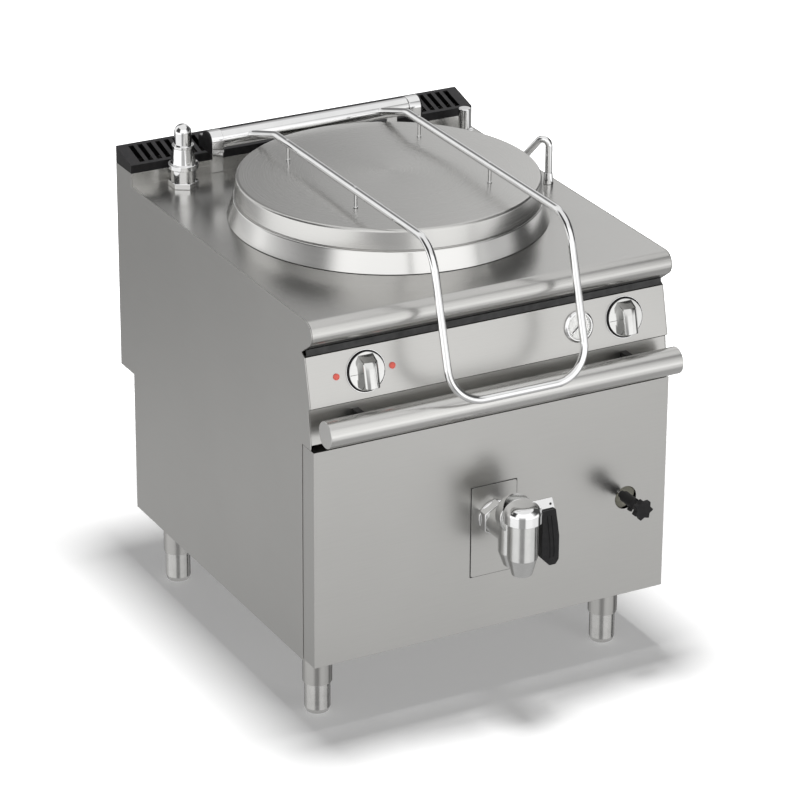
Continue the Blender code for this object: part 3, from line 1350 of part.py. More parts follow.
def build_safety_valve():
    base_z = WORKTOP_Z + GAP
    place = (VALVE_X, VALVE_Y, 0)
    hexagon = [(0, base_z), (VALVE_HEX_RADIUS, base_z)]
    hexagon += [(VALVE_HEX_RADIUS, base_z + VALVE_HEX_HEIGHT), (0, base_z + VALVE_HEX_HEIGHT)]
    base = add("safety_valve_body", turned(hexagon, 6, place, UP), chrome)
    waist_top = base_z + VALVE_HEX_HEIGHT + VALVE_WAIST_HEIGHT
    ring_top = waist_top + VALVE_RING_HEIGHT
    cone_top = ring_top + VALVE_CONE_HEIGHT
    collar_top = cone_top + VALVE_COLLAR_HEIGHT
    body = [
        (0, base_z + VALVE_HEX_HEIGHT / 2),
        (VALVE_WAIST_RADIUS, base_z + VALVE_HEX_HEIGHT / 2),
        (VALVE_WAIST_RADIUS, waist_top),
        (VALVE_HEX_RADIUS, waist_top),
        (VALVE_HEX_RADIUS, ring_top),
        (VALVE_CONE_RADIUS, ring_top),
        (VALVE_CONE_TOP_RADIUS, cone_top),
        (VALVE_COLLAR_RADIUS, cone_top),
        (VALVE_COLLAR_RADIUS, collar_top),
        (0, collar_top),
    ]
    join(base, turned(body, MIDDLE_SIDES, place, UP))
    cap_z = collar_top + GAP
    middle = (0, cap_z + VALVE_BULB_HEIGHT - VALVE_BULB_RADIUS)
    dome = arc(middle, VALVE_BULB_RADIUS, 0, math.pi / 2, ARC_STEPS)
    bulb = [(0, cap_z), (VALVE_BULB_RADIUS, cap_z)]
    bulb += dome[:-1]
    bulb += [(0, cap_z + VALVE_BULB_HEIGHT)]
    add("safety_valve_cap", turned(bulb, SMALL_SIDES, place, UP), chrome, (VALVE_X, VALVE_Y, cap_z))


def build_filler():
    base_z = WORKTOP_Z + GAP
    stem_z = base_z + FILLER_BASE_HEIGHT
    cap_z = stem_z + FILLER_STEM_HEIGHT
    place = (FILLER_X, FILLER_Y, 0)
    profile = [
        (0, base_z),
        (FILLER_BASE_RADIUS, base_z),
        (FILLER_BASE_RADIUS, stem_z),
        (FILLER_STEM_RADIUS, stem_z),
        (FILLER_STEM_RADIUS, cap_z),
        (0, cap_z),
    ]
    column = add("filler_column", turned(profile, SMALL_SIDES, place, UP), chrome)
    side = (FILLER_X, FILLER_Y, stem_z + FILLER_STEM_HEIGHT / 2)
    join(column, disc(FILLER_SIDE_RADIUS, 0, FILLER_SIDE_REACH, PIPE_SIDES, side, RIGHT))
    top = cap_z + GAP
    cap = disc(FILLER_CAP_RADIUS, top, top + FILLER_CAP_HEIGHT, SMALL_SIDES, place, UP)
    add("filler_cap", cap, chrome, (FILLER_X, FILLER_Y, top))


def build_spout():
    base_z = WORKTOP_Z + GAP
    top = base_z + SPOUT_BASE_HEIGHT
    place = (SPOUT_X, SPOUT_Y, 0)
    profile = [
        (0, base_z),
        (SPOUT_BASE_RADIUS, base_z),
        (SPOUT_BASE_TOP_RADIUS, top),
        (0, top),
    ]
    add("spout_base", turned(profile, SMALL_SIDES, place, UP), chrome)
    ahead = Vector((math.cos(SPOUT_TURN), math.sin(SPOUT_TURN), 0))
    foot = Vector((SPOUT_X, SPOUT_Y, top + GAP))
    peak = Vector((SPOUT_X, SPOUT_Y, SPOUT_APEX_Z))
    end = Vector((SPOUT_X, SPOUT_Y, SPOUT_END_Z)) + ahead * SPOUT_RUN
    route = rounded_path([foot, peak, end], [SPOUT_BEND], 2 * ARC_STEPS)
    spout = add("spout", swept(route, SPOUT_RADIUS, SPOUT_SIDES), chrome, tuple(foot))
    run = (end - peak).normalized()
    cut(spout, disc(SPOUT_BORE, -OVERRUN, OVERRUN, SPOUT_SIDES, end, run))


build_side_panels()
build_base_tray()
build_feet()
build_rear_panels()
build_front_panel()
build_control_panel()
build_fascia()
build_worktop()
build_collar()
build_grille()
build_rail()
build_vessel()
build_jacket()
build_insulation()
build_heater()
build_inner_pipes()
build_drain()
build_tap_head()
build_lever()
build_level_cock()
build_knob("knob_left", KNOB_LEFT_X)
build_knob("knob_right", KNOB_RIGHT_X)
build_lamps()
build_gauge()
build_lid()
build_handle()
build_hinge()
build_safety_valve()
build_filler()
build_spout()
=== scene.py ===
"""Looks of the steam jacketed kettle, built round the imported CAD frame."""

import json
import math

import bmesh
import bpy
from mathutils import Matrix, Quaternion, Vector


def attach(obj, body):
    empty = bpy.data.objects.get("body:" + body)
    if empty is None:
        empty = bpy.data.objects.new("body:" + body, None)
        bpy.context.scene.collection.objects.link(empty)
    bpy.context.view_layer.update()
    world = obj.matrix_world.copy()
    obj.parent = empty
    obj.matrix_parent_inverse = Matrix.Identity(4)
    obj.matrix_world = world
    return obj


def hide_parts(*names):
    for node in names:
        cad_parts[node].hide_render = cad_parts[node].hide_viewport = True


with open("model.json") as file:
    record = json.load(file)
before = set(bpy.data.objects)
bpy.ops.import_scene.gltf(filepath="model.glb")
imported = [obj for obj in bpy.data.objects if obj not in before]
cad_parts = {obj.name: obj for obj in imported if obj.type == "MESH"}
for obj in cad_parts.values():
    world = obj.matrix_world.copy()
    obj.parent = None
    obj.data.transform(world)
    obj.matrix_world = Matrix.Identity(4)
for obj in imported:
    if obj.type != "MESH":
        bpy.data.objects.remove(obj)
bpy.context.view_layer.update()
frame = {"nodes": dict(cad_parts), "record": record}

MM = 0.001
DEGREE = math.pi / 180
UP = (0, 0, 1)
FORWARD = (0, -1, 0)
RIGHT = (1, 0, 0)
SIDES = {"left": -1, "right": 1}

# Shapes are drawn with the kettle's upright axis at y = 0. In the frame it lies this far back.
AXIS_Y = 0.07725

# The clearance between pieces, and distances and angles of the mesh tools
GAP = 0.3 * MM
WELD = 0.01 * MM
FLAT = 0.5 * DEGREE
SHARP = 35 * DEGREE
BORE_DEPTH = 12 * MM
CORNER_SHARE = 0.49
HEXAGON = 6

# Cabinet
WORKTOP_Z = 870 * MM
FITTING_Z = WORKTOP_Z + GAP
RAIL_HALF = 392 * MM
RAIL_RADIUS = 27.5 * MM
RAIL_Y = -486 * MM
RAIL_Z = 658 * MM
# A dark strip of painted shade fills the gap under the worktop's nose
STRIP_HALF = 395 * MM
STRIP_Y = (-413.4 * MM, -411 * MM)
STRIP_Z = (793.5 * MM, 807 * MM)
FOOT_X = {"left": -351 * MM, "right": 309 * MM}
FOOT_Y = {"front": -368 * MM, "rear": 288 * MM}

# Line round the drain plate
PLATE_HALF = 51.1 * MM
PLATE_Y = (-451.6 * MM, -450.2 * MM)
PLATE_Z = (259.5 * MM, 456.5 * MM)
LINE_WIDTH = 0.7 * MM

# Leaning control panel
PANEL_LEAN = 13.1 * DEGREE
PANEL_NORMAL = (0, -math.cos(PANEL_LEAN), math.sin(PANEL_LEAN))
PANEL_TOP_Y = -415 * MM
PANEL_TOP_Z = 792 * MM
DIAL_ROW_Z = 745 * MM
KNOB_X = {"left": -274 * MM, "right": 303.5 * MM}
KNOB_BASE = 3.1 * MM
KNOB_FACE = KNOB_BASE + 4 * MM
KNOB_GRIP_HALF = 16 * MM
KNOB_GRIP_STRETCH = 26 / 25
LAMP_MIDDLE_X = -277 * MM
LAMP_SPACING = 60.5 * MM
GAUGE_X = 199 * MM
DIAL_MARKS = 31
DIAL_START = 225 * DEGREE
DIAL_STEP = 9 * DEGREE

# Collar, lid, hinge and handle
COLLAR_TOP_Z = 913.3 * MM
COLLAR_FOOT_Z = 871 * MM
LID_RIM_Z = 916.4 * MM
LID_RADIUS = 300 * MM
LID_EDGE_Z = 957.5 * MM
LID_RISE = 7.6 * MM
LID_WALL = 2 * MM
LID_STEP = 15 * MM
LID_STEPS = 20
HINGE_Y = 335 * MM
HINGE_Z = 958 * MM
HINGE_HALF = 216.5 * MM
HINGE_RADIUS = 19 * MM
HANDLE_HALF = 151 * MM
HANDLE_RADIUS = 8 * MM
HANDLE_Z = 997.5 * MM
HANDLE_REAR_Y = 205 * MM
HANDLE_FRONT_Y = -458 * MM
LOOP_Y = -548 * MM
LOOP_Z = 694 * MM
LOOP_BEND = 72 * MM
ARM_BEND = 70 * MM
STUD_Y = (152 * MM, -146 * MM)

# Fittings on the worktop
VALVE_PLACE = (-300 * MM, 335 * MM, 0)
FILLER_X = 352 * MM
FILLER_Y = 320 * MM
SPOUT_X = 375 * MM
SPOUT_Y = 3 * MM
SPOUT_TURN = 133 * DEGREE
SPOUT_PEAK_Z = 989 * MM
SPOUT_END_Z = 897.6 * MM
SPOUT_REACH = 72.4 * MM

# Drain tap, with lengths that run forward from the kettle's axis
DRAIN_AXIS = (0, 0, 386 * MM)
TAP_Y = -566 * MM
TAP_PLACE = (0, TAP_Y, 0)
TAP_TOP_Z = 424 * MM
TAP_REAR_Y = TAP_Y + 34 * MM
HOOD_Z = 427 * MM
TAPER_Z = 346 * MM
NUT_BACK = 452.1 * MM
NECK_BACK = NUT_BACK + 22.3 * MM
STRAP_LOW_Z = TAP_TOP_Z + 14.3 * MM
STRAP_HIGH_Z = STRAP_LOW_Z + 24.4 * MM
STRAP_HALF = 2.5 * MM
TAP_GRIP_TOP_Z = STRAP_LOW_Z - GAP
TAP_GRIP_HALF = 8 * MM

# Level cock, with lengths that run forward from the kettle's axis
LEVEL_X = 292 * MM
LEVEL_Z = 371.5 * MM
LEVEL_AXIS = (LEVEL_X, 0, LEVEL_Z)
LEVEL_START = 456.3 * MM
LEVEL_END = LEVEL_START + 74 * MM
STAR_POINTS = 7
STAR_STEPS = 10


# Node materials

FINE_GRAIN = 1500
LONG_GRAIN = 12
NOISE_LOW = 0.3
NOISE_HIGH = 0.7
CLOUD_SCALE = 3.2
TEXTURE_SCALE = 18


def new_material(name):
    """A material with its node tree and its shader."""
    material = bpy.data.materials.new(name)
    material.use_nodes = True
    return material, material.node_tree, material.node_tree.nodes["Principled BSDF"]


def add_node(tree, kind, values=None, links=None, **settings):
    """A node with its input values, its links and its settings."""
    node = tree.nodes.new(kind)
    for key, value in settings.items():
        setattr(node, key, value)
    for key, value in (values or {}).items():
        node.inputs[key].default_value = value
    for key, source in (links or {}).items():
        tree.links.new(source, node.inputs[key])
    return node


def own_place(tree):
    """The place on a piece, in its object's coordinates."""
    return add_node(tree, "ShaderNodeTexCoord").outputs["Object"]


def axis_place(tree):
    """The same place, measured from the kettle's upright axis."""
    return add_node(tree, "ShaderNodeVectorMath", {1: (0, -AXIS_Y, 0)}, {0: own_place(tree)},
                    operation="ADD").outputs[0]


def length_of(tree, vector):
    """The length of a vector."""
    return add_node(tree, "ShaderNodeVectorMath", links={0: vector}, operation="LENGTH").outputs["Value"]


def maths(tree, operation, first, second):
    """A calculation with two values."""
    return add_node(tree, "ShaderNodeMath", links={0: first, 1: second}, operation=operation).outputs[0]


def remapped(tree, source, low, high, start=0.0, end=1.0):
    """A value carried from the range start to end over to the range low to high."""
    values = {"From Min": start, "From Max": end, "To Min": low, "To Max": high}
    return add_node(tree, "ShaderNodeMapRange", values, {"Value": source}).outputs[0]


def noise(tree, vector, scale, detail=2.0, roughness=0.5):
    """A smooth random value between nought and one."""
    values = {"Scale": scale, "Detail": detail, "Roughness": roughness}
    return add_node(tree, "ShaderNodeTexNoise", values, {"Vector": vector}).outputs["Fac"]


def ramp(tree, source, stops):
    """A colour ramp over a value, with its stops as (place, grey or colour)."""
    node = add_node(tree, "ShaderNodeValToRGB", links={"Fac": source})
    elements = node.color_ramp.elements
    while len(elements) < len(stops):
        elements.new(0.5)
    for element, (place, colour) in zip(elements, stops):
        element.position = place
        if not isinstance(colour, tuple):
            colour = (colour, colour, colour)
        element.color = (*colour, 1)
    return node.outputs["Color"]


def mixed(tree, kind, share, first, second):
    """Two colours mixed. A share that is a socket is linked."""
    node = add_node(tree, "ShaderNodeMix", links={6: first, 7: second}, data_type="RGBA", blend_type=kind)
    if isinstance(share, bpy.types.NodeSocket):
        tree.links.new(share, node.inputs[0])
    else:
        node.inputs[0].default_value = share
    return node.outputs[2]


def multiply(tree, first, second):
    """Two colours multiplied."""
    return mixed(tree, "MULTIPLY", 1, first, second)


def grain_vector(tree, grain):
    """Coordinates that stretch a noise along the brushing: x, y, z, or round the axis of the kettle."""
    scale = [FINE_GRAIN, FINE_GRAIN, FINE_GRAIN]
    if grain == "round":
        parts = add_node(tree, "ShaderNodeSeparateXYZ", links={0: axis_place(tree)}).outputs
        flat = add_node(tree, "ShaderNodeCombineXYZ", links={"X": parts["X"], "Y": parts["Y"]})
        radius = length_of(tree, flat.outputs[0])
        place = add_node(tree, "ShaderNodeCombineXYZ", links={"X": radius, "Z": parts["Z"]}).outputs[0]
    else:
        scale["xyz".index(grain)] = LONG_GRAIN
        place = own_place(tree)
    return add_node(tree, "ShaderNodeMapping", {"Scale": scale}, {"Vector": place}).outputs[0]


def set_surface(tree, shader, colour, rough, height, metallic, strength, distance):
    """Links a shader's colour and roughness, and a bump from a height."""
    tree.links.new(colour, shader.inputs["Base Color"])
    tree.links.new(rough, shader.inputs["Roughness"])
    shader.inputs["Metallic"].default_value = metallic
    bump = add_node(tree, "ShaderNodeBump", {"Strength": strength, "Distance": distance}, {"Height": height})
    tree.links.new(bump.outputs[0], shader.inputs["Normal"])


def brushed(name, grain, tone=(0.5, 0.495, 0.48), rough=0.3, spread=0.05, streak=0.03, bump=0.02, lay=0.0):
    """Brushed stainless steel: fine streaks in colour, roughness and height, and broad soft cloudiness."""
    material, tree, shader = new_material(name)
    fine = noise(tree, grain_vector(tree, grain), scale=1.0, detail=4.0, roughness=0.6)
    cloud = noise(tree, own_place(tree), CLOUD_SCALE, detail=3.0)
    low = tuple(part * (1 - streak) for part in tone)
    high = tuple(min(part * (1 + streak), 1) for part in tone)
    streaks = ramp(tree, fine, [(NOISE_LOW, low), (NOISE_HIGH, high)])
    clouds = ramp(tree, cloud, [(NOISE_LOW, 0.96), (NOISE_HIGH, 1.0)])
    change = remapped(tree, fine, rough - spread / 2, rough + spread / 2, NOISE_LOW, NOISE_HIGH)
    set_surface(tree, shader, multiply(tree, streaks, clouds), change, fine, 1, bump, 0.2 * MM)
    if lay:
        along = add_node(tree, "ShaderNodeVectorMath", {0: UP}, {1: axis_place(tree)},
                         operation="CROSS_PRODUCT")
        tree.links.new(along.outputs[0], shader.inputs["Tangent"])
        shader.inputs["Anisotropic"].default_value = lay
    return material


def plain(name, low, high, rough, metallic=0.0, scale=60.0, bump=0.05, distance=0.2 * MM, spread=0.06):
    """A finish with faint cloudiness in colour and roughness, and a fine surface texture."""
    material, tree, shader = new_material(name)
    where = own_place(tree)
    cloud = noise(tree, where, scale, detail=5.0, roughness=0.55)
    fine = noise(tree, where, scale * TEXTURE_SCALE)
    colour = ramp(tree, cloud, [(NOISE_LOW, low), (NOISE_HIGH, high)])
    change = remapped(tree, cloud, rough, rough + spread, NOISE_LOW, NOISE_HIGH)
    set_surface(tree, shader, colour, change, fine, metallic, bump, distance)
    return material


def glass(name):
    """Clear glass that bends light little, so that a thin pane shows what is behind it."""
    material, tree, shader = new_material(name)
    change = remapped(tree, noise(tree, own_place(tree), scale=90.0), 0.01, 0.05)
    tree.links.new(change, shader.inputs["Roughness"])
    shader.inputs["Base Color"].default_value = (1, 1, 1, 1)
    shader.inputs["Transmission Weight"].default_value = 1
    shader.inputs["IOR"].default_value = 1.15
    return material


steel_x = brushed("steel_brushed_x", "x")
steel_y = brushed("steel_brushed_y", "y", rough=0.33)
steel_top = brushed("steel_worktop", "x", tone=(0.56, 0.555, 0.54), rough=0.25)
steel_round = brushed("steel_brushed_round", "round", tone=(0.6, 0.595, 0.58), rough=0.26, streak=0.008,
                      bump=0.001, lay=0.6)
# A lighter copy of the lid's steel for the collar, with part of its highlight painted into the colour.
steel_collar_painted_light = brushed("steel_collar_painted_light", "round", tone=(0.76, 0.755, 0.74), rough=0.22, streak=0.01,
                       bump=0.001)
steel_rail = brushed("steel_rail", "x", tone=(0.62, 0.615, 0.60), rough=0.24)
steel_satin = plain("steel_satin", (0.58, 0.575, 0.56), (0.64, 0.635, 0.62), rough=0.2, metallic=1.0)
chrome = plain("chrome_polished", (0.80, 0.80, 0.80), (0.86, 0.86, 0.86), rough=0.05, metallic=1.0,
               scale=25.0, bump=0.01, spread=0.03)
knob_metal = plain("knob_metal", (0.58, 0.58, 0.57), (0.66, 0.66, 0.65), rough=0.06, metallic=1.0,
                   scale=25.0, bump=0.01, spread=0.03)
tap_metal = plain("tap_metal", (0.66, 0.66, 0.65), (0.74, 0.74, 0.73), rough=0.2, metallic=1.0,
                  scale=30.0, bump=0.02)
black = plain("plastic_black", (0.012, 0.012, 0.013), (0.022, 0.021, 0.022), rough=0.38, scale=80.0,
              bump=0.2)
black.node_tree.nodes["Principled BSDF"].inputs["Specular IOR Level"].default_value = 0.22
# Dark metal for the tap's pin and the drain plate's line; on the nose strip and the rail brackets it stands
# for painted shade.
dark_metal_and_shade = plain("metal_dark_and_painted_shade", (0.05, 0.05, 0.05), (0.08, 0.08, 0.08), rough=0.4, metallic=1.0)
red = plain("lens_red", (0.92, 0.14, 0.11), (0.98, 0.19, 0.15), rough=0.35)
red_shader = red.node_tree.nodes["Principled BSDF"]
red_shader.inputs["Emission Color"].default_value = (0.9, 0.16, 0.12, 1)
red_shader.inputs["Emission Strength"].default_value = 0.3
white_dial = plain("dial_white", (0.82, 0.82, 0.80), (0.88, 0.88, 0.86), rough=0.5)
print_black = plain("print_black", (0.02, 0.02, 0.02), (0.04, 0.04, 0.04), rough=0.5)
wool = plain("glass_wool", (0.55, 0.53, 0.44), (0.74, 0.72, 0.62), rough=0.9, scale=30.0,
             bump=0.8, distance=2 * MM)
# A darker copy of the glass wool: painted shade for the lagging deep in the level cock's hole.
wool_in_painted_shade = plain("glass_wool_painted_shade", (0.22, 0.215, 0.17), (0.30, 0.29, 0.24), rough=0.9, scale=90.0,
                  bump=0.4, distance=1 * MM)
clear = glass("glass_clear")


# Outlines and shapes

def arc(centre, radius, start, end, steps):
    """Points along a round stretch of an outline."""
    points = []
    for step in range(steps + 1):
        angle = start + (end - start) * step / steps
        points.append((centre[0] + radius * math.cos(angle), centre[1] + radius * math.sin(angle)))
    return points


def eased(points, steps=4, loop=False):
    """Rounds the corners of a path of (a, b) or (a, b, radius) points."""
    result = []
    count = len(points)
    for index, point in enumerate(points):
        here = Vector(point[:2])
        radius = point[2] if len(point) > 2 else 0
        if not radius or (not loop and index in (0, count - 1)):
            result.append(tuple(here))
            continue
        back = Vector(points[index - 1][:2]) - here
        ahead = Vector(points[(index + 1) % count][:2]) - here
        angle = back.angle(ahead)
        room = min(back.length, ahead.length) * CORNER_SHARE
        reach = min(radius / math.tan(angle / 2), room)
        first = here + back.normalized() * reach
        last = here + ahead.normalized() * reach
        for step in range(steps + 1):
            share = step / steps
            curve = first * (1 - share) ** 2 + here * 2 * share * (1 - share) + last * share ** 2
            result.append(tuple(curve))
    return result


def bar_profile(radius, low, high, low_edge=0, high_edge=0):
    """Profile of a solid round bar, from its axis out and back, with edges that can be rounded."""
    return eased([(0, low), (radius, low, low_edge), (radius, high, high_edge), (0, high)])


def ring_profile(inner, outer, low, high, edge):
    """Profile of a flat ring with rounded edges."""
    corners = [(inner, low, edge), (outer, low, edge), (outer, high, edge), (inner, high, edge)]
    return eased(corners, loop=True)


def closed(mesh):
    """The mesh with its faces pointing out."""
    bmesh.ops.recalc_face_normals(mesh, faces=mesh.faces)
    return mesh


def add_band(mesh, ring, after):
    """Faces between two rings of points."""
    count = len(ring)
    for index in range(count):
        follower = (index + 1) % count
        mesh.faces.new((ring[index], ring[follower], after[follower], after[index]))


def prism(outline, low, high, axis):
    """An outline extruded between two levels of an axis."""
    mesh = bmesh.new()
    rings = []
    for level in (low, high):
        ring = []
        for first, second in outline:
            place = {"X": (level, first, second), "Y": (first, level, second), "Z": (first, second, level)}
            ring.append(mesh.verts.new(place[axis]))
        rings.append(ring)
    mesh.faces.new(rings[0])
    mesh.faces.new(rings[1])
    add_band(mesh, *rings)
    return closed(mesh)


def box(low, high):
    """A box between two opposite corners."""
    outline = [(low[0], low[1]), (high[0], low[1]), (high[0], high[1]), (low[0], high[1])]
    return prism(outline, low[2], high[2], "Z")


def bevelled(mesh, width, segments=2, angle=SHARP):
    """Rounds every edge that is sharper than an angle."""
    edges = [edge for edge in mesh.edges if edge.is_manifold and edge.calc_face_angle() > angle]
    bmesh.ops.bevel(mesh, geom=edges, offset=width, offset_type="OFFSET", segments=segments, profile=0.5,
                    affect="EDGES", clamp_overlap=True)
    return closed(mesh)


def aimed(mesh, centre, direction):
    """The mesh with its own z axis turned to a direction and its origin moved to a centre."""
    turn = Vector(UP).rotation_difference(Vector(direction)).to_matrix()
    bmesh.ops.transform(mesh, matrix=turn.to_4x4(), verts=mesh.verts)
    bmesh.ops.translate(mesh, vec=Vector(centre), verts=mesh.verts)
    return mesh


def turned(profile, sides, centre=(0, 0, 0), direction=UP):
    """A profile of (radius, height) points spun round its axis."""
    mesh = bmesh.new()
    rings = []
    for radius, height in profile:
        if radius == 0:
            rings.append([mesh.verts.new((0, 0, height))] * sides)
            continue
        ring = []
        for side in range(sides):
            angle = 2 * math.pi * (side + 0.5) / sides
            ring.append(mesh.verts.new((radius * math.cos(angle), radius * math.sin(angle), height)))
        rings.append(ring)
    for index, ring in enumerate(rings):
        after = rings[(index + 1) % len(rings)]
        for side in range(sides):
            follower = (side + 1) % sides
            corners = dict.fromkeys((ring[side], ring[follower], after[follower], after[side]))
            if len(corners) > 2:
                mesh.faces.new(list(corners))
    return aimed(closed(mesh), centre, direction)


def rounded_path(corners, bends, steps):
    """A route through corners, each rounded by an arc of its own radius."""
    points = [Vector(corners[0])]
    for before, corner, after, bend in zip(corners, corners[1:], corners[2:], bends):
        corner = Vector(corner)
        back = (Vector(before) - corner).normalized()
        ahead = (Vector(after) - corner).normalized()
        half = back.angle(ahead) / 2
        middle = (back + ahead).normalized()
        centre = corner + middle * bend / math.sin(half)
        reach = bend / math.tan(half)
        first = corner + back * reach - centre
        last = corner + ahead * reach - centre
        sweep = first.angle(last)
        for step in range(steps + 1):
            share = step / steps
            start_part = first * math.sin(sweep * (1 - share))
            end_part = last * math.sin(sweep * share)
            points.append(centre + (start_part + end_part) / math.sin(sweep))
    points.append(Vector(corners[-1]))
    return points


def swept(path, radius, sides, bore=0):
    """A round bar along a route with flat ends, or one whose last end is bored."""
    mesh = bmesh.new()
    rings = []
    normal = None
    for index, point in enumerate(path):
        ahead = path[min(index + 1, len(path) - 1)] - point
        behind = point - path[max(index - 1, 0)]
        run = (ahead.normalized() + behind.normalized()).normalized()
        if normal is None:
            normal = run.orthogonal().normalized()
        normal = (normal - run * normal.dot(run)).normalized()
        across = run.cross(normal)
        ring = []
        for side in range(sides):
            angle = 2 * math.pi * side / sides
            spoke = normal * math.cos(angle) + across * math.sin(angle)
            ring.append(mesh.verts.new(point + spoke * radius))
        rings.append(ring)
    if bore:
        centre = path[-1]
        mouth = [mesh.verts.new(centre + (vertex.co - centre).normalized() * bore) for vertex in rings[-1]]
        floor = [mesh.verts.new(vertex.co - run * BORE_DEPTH) for vertex in mouth]
        rings += [mouth, floor]
    mesh.faces.new(rings[0])
    mesh.faces.new(rings[-1])
    for ring, after in zip(rings, rings[1:]):
        add_band(mesh, ring, after)
    return closed(mesh)


def mesh_object(name, mesh):
    """An object in the scene from a mesh, which is used up."""
    data = bpy.data.meshes.new(name)
    mesh.to_mesh(data)
    mesh.free()
    thing = bpy.data.objects.new(name, data)
    bpy.context.scene.collection.objects.link(thing)
    return thing


def merged(*meshes):
    """Several shapes in one mesh."""
    whole = bmesh.new()
    for mesh in meshes:
        thing = mesh_object("part", mesh)
        whole.from_mesh(thing.data)
        bpy.data.objects.remove(thing)
    return whole


def fused(*meshes, operation="UNION"):
    """The first shape with the others joined to it, or cut from it."""
    objects = [mesh_object("part", mesh) for mesh in meshes]
    first = objects[0]
    for other in objects[1:]:
        change = first.modifiers.new("join", "BOOLEAN")
        change.operation = operation
        change.solver = "EXACT"
        change.object = other
    bpy.context.view_layer.update()
    result = bmesh.new()
    result.from_object(first, bpy.context.evaluated_depsgraph_get())
    for thing in objects:
        bpy.data.objects.remove(thing)
    return result


# Pieces and the bodies that they ride on

body_of = {}
for body_name, members in frame["record"]["behaviour"]["bodies"].items():
    for member in members:
        body_of[member] = body_name
slot_of = {entry["node"]: entry["material_slot"] for entry in frame["record"]["subparts"]}


def piece(name, mesh, material, nodes=(), body=None, sharp=SHARP):
    """A finished piece: it rides on the body of the nodes that it replaces, or on a named one."""
    bmesh.ops.translate(mesh, vec=(0, AXIS_Y, 0), verts=mesh.verts)
    thing = mesh_object(name, mesh)
    thing.data.materials.append(material)
    thing.data.shade_smooth()
    thing.data.set_sharp_from_angle(angle=sharp)
    weights = thing.modifiers.new("face_weights", "WEIGHTED_NORMAL")
    weights.keep_sharp = True
    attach(thing, body or body_of[nodes[0]])
    if nodes:
        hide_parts(*nodes)
    return thing


def refined(node, material, width=0.5 * MM):
    """The CAD solid of a sheet-metal piece again, with softly rounded edges."""
    mesh = bmesh.new()
    mesh.from_mesh(frame["nodes"][node].data)
    bmesh.ops.remove_doubles(mesh, verts=mesh.verts, dist=WELD)
    bmesh.ops.dissolve_limit(mesh, angle_limit=FLAT, verts=mesh.verts, edges=mesh.edges)
    if width:
        bevelled(mesh, width)
    bmesh.ops.translate(mesh, vec=(0, -AXIS_Y, 0), verts=mesh.verts)
    return piece(f"{node}_sheet", mesh, material, (node,))


# Cabinet

def build_plate_line():
    """A thin dark line round the drain plate, as four bars that cross at the corners."""
    front, back = PLATE_Y
    bottom, top = PLATE_Z
    bars = []
    for side in SIDES.values():
        near, far = sorted((side * PLATE_HALF, side * (PLATE_HALF + LINE_WIDTH)))
        bars.append(box((near, front, bottom), (far, back, top)))
    inset = 0.05 * MM
    half = PLATE_HALF + 0.4 * MM
    for low in (bottom - 0.1 * MM, top - 0.4 * MM):
        bars.append(box((-half, front + inset, low), (half, back - inset, low + LINE_WIDTH)))
    piece("drain_plate_edge", fused(*bars), dark_metal_and_shade, body="cabinet")


def build_nose_painted_shade():
    """A dark strip of painted shade in the gap between the worktop's nose and the control panel."""
    strip = box((-STRIP_HALF, STRIP_Y[0], STRIP_Z[0]), (STRIP_HALF, STRIP_Y[1], STRIP_Z[1]))
    piece("nose_gap_painted_shade", strip, dark_metal_and_shade, body="cabinet")


def build_cabinet():
    """The sheets of the cabinet, the grille and what is fixed to them."""
    for side in SIDES:
        refined(f"side_panel_{side}", steel_y)
    for node in ("front_panel", "control_panel", "lower_fascia", "rear_panel_lower", "rear_panel_upper"):
        refined(node, steel_x)
    build_plate_line()
    build_nose_painted_shade()
    refined("base_tray", steel_x)
    refined("worktop", steel_top, 0.4 * MM)
    refined("drain_plate", steel_x, 0.4 * MM)
    refined("flue_grille", black, 0.8 * MM)
    # The rail brackets get the dark metal as painted shade, so that they sink into the shadow under the
    # fascia.
    for side in SIDES:
        refined(f"rail_bracket_{side}", dark_metal_and_shade, 0.8 * MM)


def build_rail():
    """The thick round bar along the front."""
    profile = bar_profile(RAIL_RADIUS, 0, 2 * RAIL_HALF, 1.5 * MM, 1.5 * MM)
    rail = turned(profile, 96, (-RAIL_HALF, RAIL_Y, RAIL_Z), RIGHT)
    piece("front_rail_bar", rail, steel_rail, ("front_rail",))


def build_feet():
    """Four round feet, each with a rounded sole and a stem that runs up into its sleeve."""
    profile = eased([
        (0, 0),
        (23 * MM, 0, 2 * MM),
        (26 * MM, 9 * MM, 4 * MM),
        (26 * MM, 65.7 * MM, 1 * MM),
        (13 * MM, 65.7 * MM),
        (13 * MM, 128 * MM),
        (0, 128 * MM),
    ])
    for end, along in FOOT_Y.items():
        for side, across in FOOT_X.items():
            foot = turned(profile, 64, (across, along, 0))
            piece(f"foot_{end}_{side}_leg", foot, steel_satin, (f"foot_{end}_{side}",))


# Vessel, lid and handle

def build_collar():
    """The raised collar, from its inner lip over the top to its foot, and the vessel in it."""
    top = COLLAR_TOP_Z
    foot = COLLAR_FOOT_Z
    profile = eased([
        (305.5 * MM, top - 12 * MM),
        (305.5 * MM, top, 1.5 * MM),
        (314.5 * MM, top, 3.5 * MM),
        (327 * MM, foot, 0.5 * MM),
        (324.4 * MM, foot - 0.6 * MM),
        (312.2 * MM, top - 2.5 * MM),
        (308 * MM, top - 2.5 * MM),
        (308 * MM, top - 12 * MM),
    ], loop=True)
    piece("kettle_collar_ring", turned(profile, 160), steel_collar_painted_light, ("kettle_collar",))
    refined("vessel", steel_round, 0)


def lid_height(radius):
    """Height of the lid's domed top at a distance from its middle."""
    return LID_EDGE_Z + LID_RISE * (1 - (radius / LID_RADIUS) ** 2)


